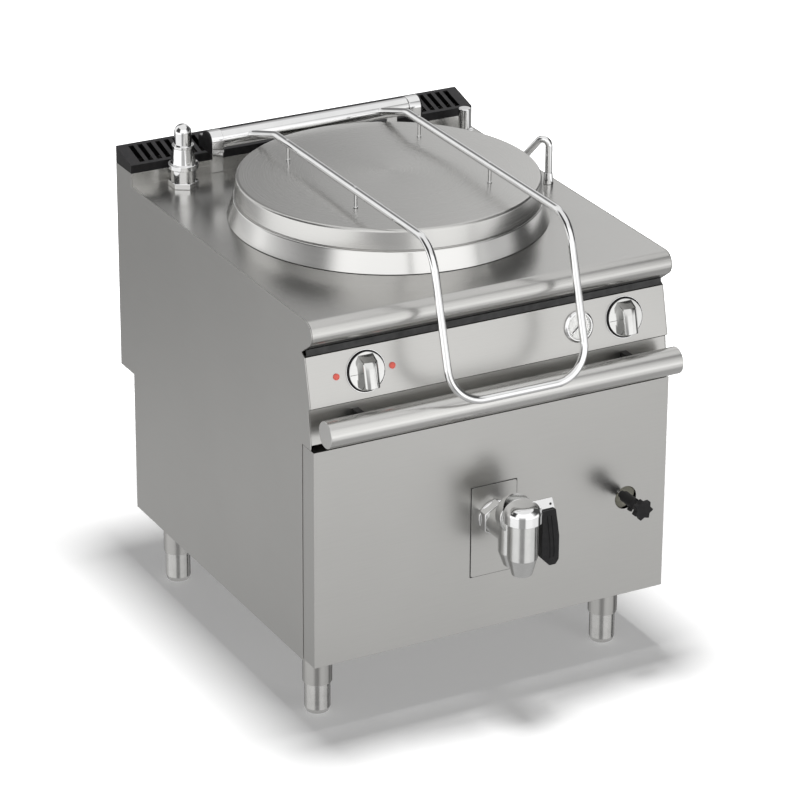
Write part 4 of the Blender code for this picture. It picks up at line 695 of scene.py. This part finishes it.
def build_lid():
    """The lid: a shallow dome with a rounded shoulder and a leaning rim, hollow below."""
    outside = [(0, lid_height(0))]
    outside += [(step * LID_STEP, lid_height(step * LID_STEP)) for step in range(1, LID_STEPS)]
    rim = [(295 * MM, 957.6 * MM), (308.5 * MM, 957.4 * MM, 8 * MM), (311.5 * MM, LID_RIM_Z)]
    outside += eased(rim, 8)[1:]
    inside = [
        (309.4 * MM, LID_RIM_Z),
        (306.5 * MM, 949 * MM),
        (300.5 * MM, 955.4 * MM),
        (270 * MM, 955.6 * MM),
        (0, lid_height(0) - LID_WALL),
    ]
    shell = turned(outside + inside, 160)
    piece("lid_shell", shell, steel_round, ("lid",), sharp=50 * DEGREE)


def build_studs():
    """Thin studs from the lid up to the handle, each with a screw head on top of the tube."""
    studs = []
    foot = 5 * MM
    shank = 3.6 * MM
    for across in (-HANDLE_HALF, HANDLE_HALF):
        for along in STUD_Y:
            low = lid_height(math.hypot(across, along) - foot) + GAP
            profile = eased([
                (0, low),
                (foot, low),
                (foot, low + 2 * MM, 0.5 * MM),
                (shank, low + 2.4 * MM),
                (shank, 995 * MM),
                (0, 995 * MM),
            ])
            studs.append(turned(profile, 24, (across, along, 0)))
            head = bar_profile(3.2 * MM, 1004.6 * MM, 1006.2 * MM, 0, 0.8 * MM)
            studs.append(turned(head, 20, (across, along, 0)))
    return studs


def build_handle():
    """A tube from the hinge over the lid that hangs down in a loop in front of it."""
    corners = []
    for side in SIDES.values():
        across = side * HANDLE_HALF
        arm = [
            (across, HINGE_Y, HINGE_Z),
            (across, HANDLE_REAR_Y, HANDLE_Z),
            (across, HANDLE_FRONT_Y, HANDLE_Z),
            (across, LOOP_Y, LOOP_Z),
        ]
        corners += arm if side < 0 else arm[::-1]
    bends = [ARM_BEND, ARM_BEND, LOOP_BEND, LOOP_BEND, ARM_BEND, ARM_BEND]
    bar = swept(rounded_path(corners, bends, 12), HANDLE_RADIUS, 28)
    room = turned(bar_profile(HINGE_RADIUS + GAP, 0, 800 * MM), 64, (-400 * MM, HINGE_Y, HINGE_Z), RIGHT)
    bar = fused(bar, room, operation="DIFFERENCE")
    piece("lid_handle_bar", fused(bar, *build_studs()), chrome, ("lid_handle",))


def build_hinge():
    """The hinge tube with a thinner pin at each end, and the brackets and caps that hold it."""
    end = HINGE_HALF + 20 * MM
    profile = eased([
        (0, -end),
        (8 * MM, -end),
        (8 * MM, -HINGE_HALF),
        (HINGE_RADIUS, -HINGE_HALF, 1 * MM),
        (HINGE_RADIUS, HINGE_HALF, 1 * MM),
        (8 * MM, HINGE_HALF),
        (8 * MM, end),
        (0, end),
    ])
    piece("hinge_tube_bar", turned(profile, 72, (0, HINGE_Y, HINGE_Z), RIGHT), chrome, ("hinge_tube",))
    for side in SIDES:
        refined(f"hinge_bracket_{side}", chrome, 0.6 * MM)
        refined(f"hinge_cap_{side}", black, 0.8 * MM)


# Fittings on the worktop

def build_valve():
    """The safety valve: a hexagon, a body that narrows upwards, and a round cap."""
    base = FITTING_Z
    hexagon = turned(bar_profile(31.6 * MM, base, base + 12 * MM, 1 * MM, 1.5 * MM), HEXAGON, VALVE_PLACE)
    body = turned(eased([
        (0, base + 6 * MM),
        (26 * MM, base + 6 * MM),
        (26 * MM, base + 38 * MM, 1 * MM),
        (31.6 * MM, base + 40 * MM, 1.5 * MM),
        (31.6 * MM, base + 50 * MM, 1.5 * MM),
        (26.5 * MM, base + 51 * MM, 1 * MM),
        (21.5 * MM, base + 84.3 * MM, 1 * MM),
        (23 * MM, base + 85 * MM, 1 * MM),
        (23 * MM, base + 90.3 * MM, 1 * MM),
        (0, base + 90.3 * MM),
    ]), 64, VALVE_PLACE)
    piece("safety_valve_case", fused(hexagon, body), chrome, ("safety_valve_body",))
    low = base + 90.6 * MM
    radius = 18 * MM
    bulb = [(0, low), (radius, low)]
    bulb += arc((0, low + 26 * MM), radius, 0, math.pi / 2, 12)[:-1]
    bulb += [(0, low + 44 * MM)]
    piece("safety_valve_bulb", turned(bulb, 48, VALVE_PLACE), chrome, ("safety_valve_cap",))


def build_filler():
    """The filler's short column with a nut at its side, and its cap."""
    place = (FILLER_X, FILLER_Y, 0)
    base = FITTING_Z
    column = turned(eased([
        (0, base),
        (14 * MM, base, 1 * MM),
        (14 * MM, base + 6 * MM, 1 * MM),
        (8 * MM, base + 6.5 * MM),
        (8 * MM, base + 22 * MM),
        (0, base + 22 * MM),
    ]), 40, place)
    nut = turned(bar_profile(5 * MM, 0, 20 * MM, 0, 1 * MM), 24, (FILLER_X, FILLER_Y, base + 14 * MM), RIGHT)
    piece("filler_column_post", fused(column, nut), chrome, ("filler_column",))
    low = base + 22.3 * MM
    cap = turned(bar_profile(13.2 * MM, low, low + 44 * MM, 1 * MM, 2 * MM), 40, place)
    piece("filler_cap_top", cap, chrome, ("filler_cap",))


def build_spout():
    """The spout's base, and its tube that rises, bends and comes down again."""
    base = FITTING_Z
    top = base + 24 * MM
    post = turned(eased([(0, base), (11 * MM, base, 1 * MM), (8.5 * MM, top, 1 * MM), (0, top)]), 40,
                  (SPOUT_X, SPOUT_Y, 0))
    piece("spout_base_post", post, chrome, ("spout_base",))
    ahead = Vector((math.cos(SPOUT_TURN), math.sin(SPOUT_TURN), 0))
    foot = Vector((SPOUT_X, SPOUT_Y, base + 24.3 * MM))
    peak = Vector((SPOUT_X, SPOUT_Y, SPOUT_PEAK_Z))
    end = Vector((SPOUT_X, SPOUT_Y, SPOUT_END_Z)) + ahead * SPOUT_REACH
    route = rounded_path([foot, peak, end], [13 * MM], 12)
    piece("spout_tube", swept(route, 7.5 * MM, 32, 5.5 * MM), chrome, ("spout",))


# Control panel

def dial_point(across):
    """A point of the row of dials, on the leaning face of the control panel."""
    return (across, PANEL_TOP_Y - (PANEL_TOP_Z - DIAL_ROW_Z) * math.tan(PANEL_LEAN), DIAL_ROW_Z)


def grip_shape(base):
    """A knob's grip: a bar with a rounded front that slopes down to the rim at its upper end."""
    side_view = [
        (-33.3, 0), (-33.2, 14), (-32.8, 22), (-31.8, 24.4), (-29, 25), (-12, 25), (6, 24.9), (17, 24.2),
        (20.4, 22.6), (25, 14.5), (29.5, 6.5), (33.3, 0),
    ]
    half_section = [(1, -0.4), (1, 0.0), (1, 0.35), (1, 0.66), (0.95, 0.75), (0.84, 0.825), (0.66, 0.9),
                    (0.42, 0.96), (0.2, 0.99)]
    section = [(-across, share) for across, share in half_section] + [(0, 1.0)] + half_section[::-1]
    root = 6 * MM
    mesh = bmesh.new()
    rings = []
    for along, rise in side_view:
        along *= MM
        rise *= KNOB_GRIP_STRETCH
        ring = []
        for across, share in section:
            lift = rise * MM * share if share > 0 else root * share
            ring.append(mesh.verts.new((KNOB_GRIP_HALF * across, along, base + lift)))
        rings.append(ring)
    for ring, after in zip(rings, rings[1:]):
        add_band(mesh, ring, after)
    mesh.faces.new(rings[0])
    mesh.faces.new(rings[-1])
    return closed(mesh)


def build_knob(side):
    """A knob: a bright ring on the panel, a dark cone, and a low face with a tall grip and a line."""
    name = f"knob_{side}"
    centre = dial_point(KNOB_X[side])
    bore = 12 * MM
    ring = turned(ring_profile(bore, 42.5 * MM, GAP, 1.4 * MM, 0.4 * MM), 96, centre, PANEL_NORMAL)
    piece(f"{name}_ring", ring, chrome, (f"{name}_bezel",))
    skirt = turned([
        (bore, 1.5 * MM),
        (41.3 * MM, 1.5 * MM),
        (41 * MM, 2.9 * MM),
        (38.1 * MM, 5.6 * MM),
        (bore, 5.6 * MM),
    ], 96, centre, PANEL_NORMAL)
    piece(f"{name}_skirt", skirt, black, body="cabinet")
    body = turned(eased([
        (0, -26 * MM),
        (3 * MM, -26 * MM),
        (3 * MM, KNOB_BASE + 2.6 * MM),
        (37.8 * MM, KNOB_BASE + 2.6 * MM, 0.2 * MM),
        (38.2 * MM, KNOB_BASE + 2.9 * MM, 0.3 * MM),
        (37 * MM, KNOB_BASE + 3.3 * MM, 1 * MM),
        (26 * MM, KNOB_BASE + 3.7 * MM, 10 * MM),
        (14 * MM, KNOB_FACE + 0.6 * MM, 3 * MM),
        (0, KNOB_FACE + 0.6 * MM),
    ]), 96, centre, PANEL_NORMAL)
    grip = aimed(grip_shape(KNOB_FACE - 1 * MM), centre, PANEL_NORMAL)
    piece(f"{name}_grip", fused(body, grip), knob_metal, (name,), sharp=30 * DEGREE)
    line = box((-36 * MM, -3.3 * MM, KNOB_BASE + 3 * MM), (-18 * MM, -2.7 * MM, KNOB_FACE + 0.25 * MM))
    line = aimed(line, centre, PANEL_NORMAL)
    piece(f"{name}_line", line, print_black, body=body_of[name])


def build_lamps():
    """Two red lenses, each on a body that runs back through the panel."""
    profile = eased([
        (0, -22 * MM),
        (5 * MM, -22 * MM),
        (5 * MM, GAP),
        (6.5 * MM, GAP),
        (6.5 * MM, 2 * MM, 1 * MM),
        (4.5 * MM, 3.5 * MM, 2 * MM),
        (0, 3.5 * MM),
    ])
    for name, side in SIDES.items():
        centre = dial_point(LAMP_MIDDLE_X + side * LAMP_SPACING)
        piece(f"lamp_{name}_lens", turned(profile, 40, centre, PANEL_NORMAL), red, (f"lamp_{name}",))


def build_gauge():
    """The gauge's case with its bezel, and the marks on its dial, every fifth one longer."""
    centre = dial_point(GAUGE_X)
    profile = eased([
        (0, -26 * MM),
        (28.5 * MM, -26 * MM),
        (28.5 * MM, GAP),
        (32.5 * MM, GAP, 0.5 * MM),
        (32.5 * MM, 3 * MM, 2 * MM),
        (28.5 * MM, 6 * MM, 1.5 * MM),
        (26.5 * MM, 6 * MM, 0.5 * MM),
        (26.5 * MM, -1.3 * MM),
        (0, -1.3 * MM),
    ])
    piece("gauge_case_ring", turned(profile, 72, centre, PANEL_NORMAL), chrome, ("gauge_case",))
    marks = []
    for step in range(DIAL_MARKS):
        long = step % 5 == 0
        low = (19.5 if long else 21) * MM
        half = (0.45 if long else 0.2) * MM
        mark = box((low, -half, 0.1 * MM), (23.5 * MM, half, 0.35 * MM))
        turn = Matrix.Rotation(DIAL_START - DIAL_STEP * step, 3, "Z")
        bmesh.ops.rotate(mark, cent=(0, 0, 0), matrix=turn, verts=mark.verts)
        marks.append(mark)
    scale = aimed(merged(*marks), centre, PANEL_NORMAL)
    piece("gauge_scale", scale, print_black, body="cabinet")


# Drain tap

def build_drain_nut():
    """The hexagon nut on its washer, with the hole for the drain pipe."""
    profile = bar_profile(36 * MM, NUT_BACK, NUT_BACK + 3 * MM, 1 * MM, 1.5 * MM)
    washer = turned(profile, 64, DRAIN_AXIS, FORWARD)
    profile = bar_profile(37.5 * MM, NUT_BACK + 1 * MM, NUT_BACK + 22 * MM, 0, 3 * MM)
    hexagon = turned(profile, HEXAGON, DRAIN_AXIS, FORWARD)
    hole = turned(bar_profile(24.3 * MM, 400 * MM, 500 * MM), 48, DRAIN_AXIS, FORWARD)
    nut = fused(fused(washer, hexagon), hole, operation="DIFFERENCE")
    piece("drain_nut_hexagon", nut, chrome, ("drain_nut",))


def post_shape(along, bottom, top, radius):
    """An upright round post of the tap that narrows to its foot."""
    foot = 21 * MM
    profile = eased([
        (0, bottom),
        (foot - 1 * MM, bottom, 0.5 * MM),
        (foot, bottom + 1.5 * MM, 1 * MM),
        (radius, TAPER_Z, 3 * MM),
        (radius, top, 1 * MM),
        (0, top),
    ])
    return turned(profile, 72, (0, along, 0))


def build_tap_body():
    """The casting: a neck, a rear post in a round hood, and a front post with room for cap and plug."""
    hood_profile = eased([(0, 0), (40 * MM, 0, 9 * MM), (40 * MM, 28 * MM, 5 * MM), (0, 28 * MM)], 8)
    hood = turned(hood_profile, 72, (0, TAP_Y + 46 * MM, HOOD_Z), FORWARD)
    neck = turned(bar_profile(31 * MM, NECK_BACK, -TAP_REAR_Y), 64, DRAIN_AXIS, FORWARD)
    rear = post_shape(TAP_REAR_Y, 316 * MM, HOOD_Z, 31.4 * MM)
    front = post_shape(TAP_Y, 309 * MM, TAP_TOP_Z, 30.4 * MM)
    room = turned(bar_profile(38.9 * MM, TAP_TOP_Z + GAP, 520 * MM), 72, TAP_PLACE)
    bore = turned([
        (0, 280 * MM),
        (18 * MM, 280 * MM),
        (18 * MM, 362 * MM),
        (20.3 * MM, 362 * MM),
        (20.3 * MM, 440 * MM),
        (0, 440 * MM),
    ], 48, TAP_PLACE)
    inlet = turned(bar_profile(17 * MM, NECK_BACK - 20 * MM, -TAP_Y), 48, DRAIN_AXIS, FORWARD)
    body = fused(front, rear, neck, hood)
    body = fused(body, room, bore, inlet, operation="DIFFERENCE")
    piece("tap_body_casting", body, tap_metal, ("tap_body",), sharp=40 * DEGREE)


def build_tap_lever():
    """The domed cap with its strap to the grip, and the pin in the strap."""
    base = TAP_TOP_Z + 2 * GAP
    dome = arc((18.5 * MM, base + 17 * MM), 20 * MM, 0, math.pi / 2, 14)
    outside = [(0, base), (38 * MM, base), (38.5 * MM, base + 0.5 * MM)] + dome + [(0, base + 37.4 * MM)]
    cap = turned(outside, 96, TAP_PLACE)
    side_view = eased([
        (20 * MM, STRAP_LOW_Z),
        (70 * MM, STRAP_LOW_Z, 1 * MM),
        (63.5 * MM, STRAP_HIGH_Z, 2 * MM),
        (20 * MM, STRAP_HIGH_Z),
    ], loop=True)
    strap = bevelled(prism(side_view, TAP_Y - STRAP_HALF, TAP_Y + STRAP_HALF, "Y"), 0.6 * MM)
    pin_place = (60 * MM, TAP_Y - 2.4 * MM, STRAP_LOW_Z + 11 * MM)
    pin = turned(bar_profile(2.6 * MM, 0, 1 * MM, 0, 0.5 * MM), 24, pin_place, FORWARD)
    piece("tap_lever_cap", fused(cap, strap), chrome, ("tap_lever",), sharp=40 * DEGREE)
    piece("tap_lever_pin", pin, dark_metal_and_shade, body=body_of["tap_lever"])


def build_tap_grip():
    """The black hanging grip, with two grooves down its front face."""
    top = TAP_GRIP_TOP_Z
    front = TAP_Y - TAP_GRIP_HALF
    outline = eased([
        (40 * MM, top, 1 * MM),
        (70 * MM, top, 2 * MM),
        (74.5 * MM, top - 30 * MM, 30 * MM),
        (79 * MM, top - 60 * MM, 30 * MM),
        (79 * MM, top - 111 * MM, 5 * MM),
        (72 * MM, top - 121 * MM, 4 * MM),
        (58 * MM, top - 121 * MM, 4 * MM),
        (40 * MM, top - 102 * MM, 4 * MM),
    ], 5, True)
    grip = bevelled(prism(outline, front, TAP_Y + TAP_GRIP_HALF, "Y"), 2 * MM, 3, 60 * DEGREE)
    grooves = []
    for shift in (0, 9 * MM):
        route = []
        for across, drop in ((50, 12), (53, 35), (56, 60), (58, 85), (58, 104)):
            route.append(Vector((across * MM + shift, front, top - drop * MM)))
        grooves.append(swept(route, 1.3 * MM, 10))
    grip = fused(grip, *grooves, operation="DIFFERENCE")
    piece("tap_grip_handle", grip, black, ("tap_grip",), sharp=50 * DEGREE)


# Level cock

def build_level_cock():
    """The cock's body with its slanting outlet, its star knob, and the pipe that holds it."""
    barrel = turned(eased([
        (0, LEVEL_START),
        (8 * MM, LEVEL_START, 1 * MM),
        (8 * MM, LEVEL_START + 10 * MM, 0.5 * MM),
        (11.5 * MM, LEVEL_START + 12 * MM, 1 * MM),
        (11.5 * MM, LEVEL_END - 20 * MM, 1 * MM),
        (9 * MM, LEVEL_END - 17 * MM, 1 * MM),
        (8.5 * MM, LEVEL_END, 0.5 * MM),
        (0, LEVEL_END),
    ]), 48, LEVEL_AXIS, FORWARD)
    middle = (LEVEL_X, -(LEVEL_START + 46 * MM), LEVEL_Z)
    slant = 30 * DEGREE
    outlet = turned(bar_profile(5.5 * MM, 0, 18 * MM, 0, 2 * MM), 24, middle,
                    (-math.sin(slant), 0, -math.cos(slant)))
    piece("level_cock_barrel", fused(barrel, outlet), black, ("level_cock_body",))
    star = []
    for step in range(STAR_POINTS * STAR_STEPS):
        share = abs(step % STAR_STEPS / STAR_STEPS - 0.5) * 2
        radius = (16.5 + 6 * share ** 1.5) * MM
        angle = 2 * math.pi * step / (STAR_POINTS * STAR_STEPS) - 5 * DEGREE
        star.append((LEVEL_X + radius * math.cos(angle), LEVEL_Z + radius * math.sin(angle)))
    knob = prism(star, -(LEVEL_END + 13.3 * MM), -(LEVEL_END + GAP), "Y")
    knob = bevelled(knob, 1.2 * MM, 2, 50 * DEGREE)
    piece("level_cock_star", knob, black, ("level_cock_knob",), sharp=50 * DEGREE)
    build_backing()
    pipe = turned(bar_profile(4.5 * MM, 330 * MM, 456 * MM, 0, 0.5 * MM), 32, LEVEL_AXIS, FORWARD)
    piece("level_pipe_tube", pipe, chrome, ("level_pipe",))


def build_backing():
    """A thin disc of lagging that shows through the panel's hole for the level cock, darkened with painted
    shade.
    """
    inner = 5 * MM
    outer = 38 * MM
    back = 444 * MM
    front = 445 * MM
    backing = turned([(inner, back), (outer, back), (outer, front), (inner, front)], 48, LEVEL_AXIS, FORWARD)
    piece("level_cock_backing", backing, wool_in_painted_shade, body="cabinet")


def finish_cad_nodes():
    """The finish of every node that keeps its CAD mesh."""
    finishes = {
        "brushed_steel": steel_x,
        "chrome": chrome,
        "black_plastic": black,
        "red_lens": red,
        "white_dial": white_dial,
        "clear_glass": clear,
        "glass_wool": wool,
        "dark_metal": dark_metal_and_shade,
    }
    for node, thing in frame["nodes"].items():
        thing.data.materials.clear()
        thing.data.materials.append(finishes[slot_of[node]])


build_cabinet()
build_rail()
build_feet()
build_collar()
build_lid()
build_handle()
build_hinge()
build_valve()
build_filler()
build_spout()
for side in SIDES:
    build_knob(side)
build_lamps()
build_gauge()
build_drain_nut()
build_tap_body()
build_tap_lever()
build_tap_grip()
build_level_cock()
finish_cad_nodes()


# Camera, found by fitting the cabinet's edges in the photograph

SENSOR = 36
LENS = 173.44
FAR_CLIP = 100
CAMERA_PLACE = (-3.4099, -6.3427, 3.7226)
CAMERA_TARGET = (0.0227, 0.0651, 0.4572)
CAMERA_ROLL = 0.358 * DEGREE


def build_camera():
    """A long lens that looks down at the kettle from its front left, with a slight roll."""
    data = bpy.data.cameras.new("camera")
    data.sensor_width = SENSOR
    data.lens = LENS
    data.clip_end = FAR_CLIP
    camera = bpy.data.objects.new("camera", data)
    ahead = Vector(CAMERA_TARGET) - Vector(CAMERA_PLACE)
    turn = ahead.to_track_quat("-Z", "Y") @ Quaternion(UP, CAMERA_ROLL)
    camera.matrix_world = Matrix.LocRotScale(Vector(CAMERA_PLACE), turn, None)
    bpy.context.scene.collection.objects.link(camera)
    bpy.context.scene.camera = camera


# Floor, studio wall and light

FLOOR_SIZE = 30
FLOOR_GLOW = 0.205
FLOOR_FAR_GLOW = 1.1
FLOOR_NEAR = 0.9
FLOOR_FAR = 1.8
AMBIENT = 0.2
WALL_RADIUS = 5
WALL_BOTTOM = -3.2
WALL_TOP = 6.0
WALL_ROOF = 0.95
WALL_FOOT = 0.5
WALL_GLOW = 1.3
BAND_GLOW = 1.8
CARD_SHADE = 0.55
BLEND_BOTTOM = 0.6
BLEND_TOP = 1.6
RIM_START = 0.85 * WALL_RADIUS
RIM_END = 0.99 * WALL_RADIUS

# Tones of the wall as (bearing in degrees, grey), for its lower and its upper part
WALL_LOW = [
    (-180, 1.1), (-142, 1.1), (-134, 0.4), (-107, 0.35), (-99, 1.1), (-70, 1.1), (-54, 0.95), (-28, 0.95),
    (-18, 0.05), (-5, 0.05), (2, 0.6), (22, 0.5), (32, 0.08), (88, 0.08), (102, 0.7), (125, 0.72),
    (135, 0.75), (146, 1.1), (180, 1.1),
]
WALL_HIGH = [
    (-180, 0.05), (-162, 0.07), (-153, 1.25), (-62, 1.25), (-46, 0.3), (-30, 0.07), (24, 0.08), (42, 0.95),
    (54, 0.85), (76, 0.22), (98, 0.22), (112, 1.0), (138, 1.0), (150, 0.08), (180, 0.06),
]

# Tones of the wall as (height, grey), and the edges of a darker card on it
WALL_BANDS = [
    (-3.2, 0.5), (-2.5, 0.66), (-1.9, 0.97), (-1.2, 0.95), (-0.7, 0.9), (-0.1, 1.4), (0.7, 1.3), (1.5, 1.0),
    (6.0, 1.0),
]
CARD_AROUND = [(80, 0.0), (92, 1.0), (132, 1.0), (142, 0.0)]
CARD_HEIGHT = [(-1.9, 0.0), (-1.2, 1.0), (0.4, 1.0), (0.8, 0.0)]


def seen_directly(tree):
    """One where a camera, glossy or transmission ray looks, and nought for diffuse light."""
    path = add_node(tree, "ShaderNodeLightPath")
    first = maths(tree, "MAXIMUM", path.outputs["Is Camera Ray"], path.outputs["Is Glossy Ray"])
    return maths(tree, "MAXIMUM", first, path.outputs["Is Transmission Ray"])


def emission(tree, strength, colour=None):
    """Light of one strength and a linked colour, or white light of a linked strength."""
    if colour is None:
        node = add_node(tree, "ShaderNodeEmission", {"Color": (1, 1, 1, 1)}, {"Strength": strength})
    else:
        node = add_node(tree, "ShaderNodeEmission", {"Strength": strength}, {"Color": colour})
    return node.outputs[0]


def stage_material(thing, name):
    """The node tree of a stage object's new material, without a shader, and the socket for its surface."""
    material, tree, shader = new_material(name)
    tree.nodes.remove(shader)
    thing.data.materials.append(material)
    return tree, tree.nodes["Material Output"].inputs["Surface"]


def build_floor():
    """A pale floor that takes shadows and glows to white away from the kettle."""
    mesh = bmesh.new()
    bmesh.ops.create_grid(mesh, x_segments=1, y_segments=1, size=FLOOR_SIZE)
    floor = mesh_object("floor", mesh)
    tree, surface = stage_material(floor, "floor_pale")
    matt = add_node(tree, "ShaderNodeBsdfDiffuse", {"Color": (0.8, 0.8, 0.8, 1)})
    far = length_of(tree, own_place(tree))
    rise = remapped(tree, far, FLOOR_GLOW, FLOOR_FAR_GLOW, FLOOR_NEAR, FLOOR_FAR)
    glow = emission(tree, maths(tree, "MULTIPLY", seen_directly(tree), rise))
    both = add_node(tree, "ShaderNodeAddShader", links={0: matt.outputs[0], 1: glow})
    tree.links.new(both.outputs[0], surface)
    floor.visible_glossy = False


def bearing_tones(tree, turn, stops, most=1):
    """Tones round the wall from stops of (bearing, grey)."""
    return ramp(tree, turn, [((bearing + 180) / 360, grey / most) for bearing, grey in stops])


def height_tones(tree, rise, stops, most=1):
    """Tones up the wall from stops of (height, grey)."""
    span = WALL_TOP - WALL_BOTTOM
    return ramp(tree, rise, [((height - WALL_BOTTOM) / span, grey / most) for height, grey in stops])


def wall_tone(tree, parts):
    """The wall's tone: bearings and bands of height, less the darker card."""
    around = maths(tree, "ARCTAN2", parts["Y"], parts["X"])
    turn = remapped(tree, around, 0.0, 1.0, -math.pi, math.pi)
    rise = remapped(tree, parts["Z"], 0.0, 1.0, WALL_BOTTOM, WALL_TOP)
    upper = remapped(tree, parts["Z"], 0.0, 1.0, BLEND_BOTTOM, BLEND_TOP)
    low = bearing_tones(tree, turn, WALL_LOW, WALL_GLOW)
    high = bearing_tones(tree, turn, WALL_HIGH, WALL_GLOW)
    tone = mixed(tree, "MIX", upper, low, high)
    band = height_tones(tree, rise, WALL_BANDS, BAND_GLOW)
    card = multiply(tree, bearing_tones(tree, turn, CARD_AROUND), height_tones(tree, rise, CARD_HEIGHT))
    return multiply(tree, multiply(tree, tone, band), remapped(tree, card, 1.0, CARD_SHADE))


def build_wall():
    """A round studio wall that only metal and glass see, closed by a plain roof and foot."""
    mesh = bmesh.new()
    bmesh.ops.create_cone(mesh, cap_ends=True, segments=128, radius1=WALL_RADIUS, radius2=WALL_RADIUS,
                          depth=WALL_TOP - WALL_BOTTOM)
    bmesh.ops.translate(mesh, vec=(0, 0, (WALL_TOP + WALL_BOTTOM) / 2), verts=mesh.verts)
    wall = mesh_object("studio_wall", mesh)
    tree, surface = stage_material(wall, "wall_cards")
    where = own_place(tree)
    parts = add_node(tree, "ShaderNodeSeparateXYZ", links={0: where}).outputs
    side_glow = emission(tree, WALL_GLOW * BAND_GLOW, wall_tone(tree, parts))
    end_glow = emission(tree, remapped(tree, parts["Z"], WALL_FOOT, WALL_ROOF))
    flat = add_node(tree, "ShaderNodeVectorMath", {1: (1, 1, 0)}, {0: where}, operation="MULTIPLY")
    reach = length_of(tree, flat.outputs[0])
    rim = remapped(tree, reach, 0.0, 1.0, RIM_START, RIM_END)
    both = add_node(tree, "ShaderNodeMixShader", links={0: rim, 1: end_glow, 2: side_glow})
    tree.links.new(both.outputs[0], surface)
    wall.visible_camera = False
    wall.visible_diffuse = False
    wall.visible_shadow = False


def build_world():
    """A white surround that lends diffuse surfaces only a part of its light."""
    world = bpy.data.worlds.new("studio")
    bpy.context.scene.world = world
    world.use_nodes = True
    tree = world.node_tree
    background = tree.nodes["Background"]
    tree.links.new(remapped(tree, seen_directly(tree), AMBIENT, 1.0), background.inputs["Color"])
    background.inputs["Strength"].default_value = 1


def add_lamp(name, place, target, width, height, power):
    """A rectangular lamp aimed at a point, which no polished surface mirrors."""
    data = bpy.data.lights.new(name, "AREA")
    data.shape = "RECTANGLE"
    data.size = width
    data.size_y = height
    data.energy = power
    lamp = bpy.data.objects.new(name, data)
    lamp.location = place
    lamp.rotation_euler = (Vector(target) - Vector(place)).to_track_quat("-Z", "Y").to_euler()
    lamp.visible_glossy = False
    bpy.context.scene.collection.objects.link(lamp)


build_camera()
build_floor()
build_wall()
build_world()
add_lamp("overhead", place=(0.05, 0, 6.0), target=(0.05, 0, 0), width=1.0, height=1.0, power=335)
add_lamp("front_lamp", place=(1.3, -3.4, 1.05), target=(-0.2, -0.4, 0.75), width=1.2, height=0.7, power=12)
bpy.context.scene.view_settings.view_transform = "Standard"
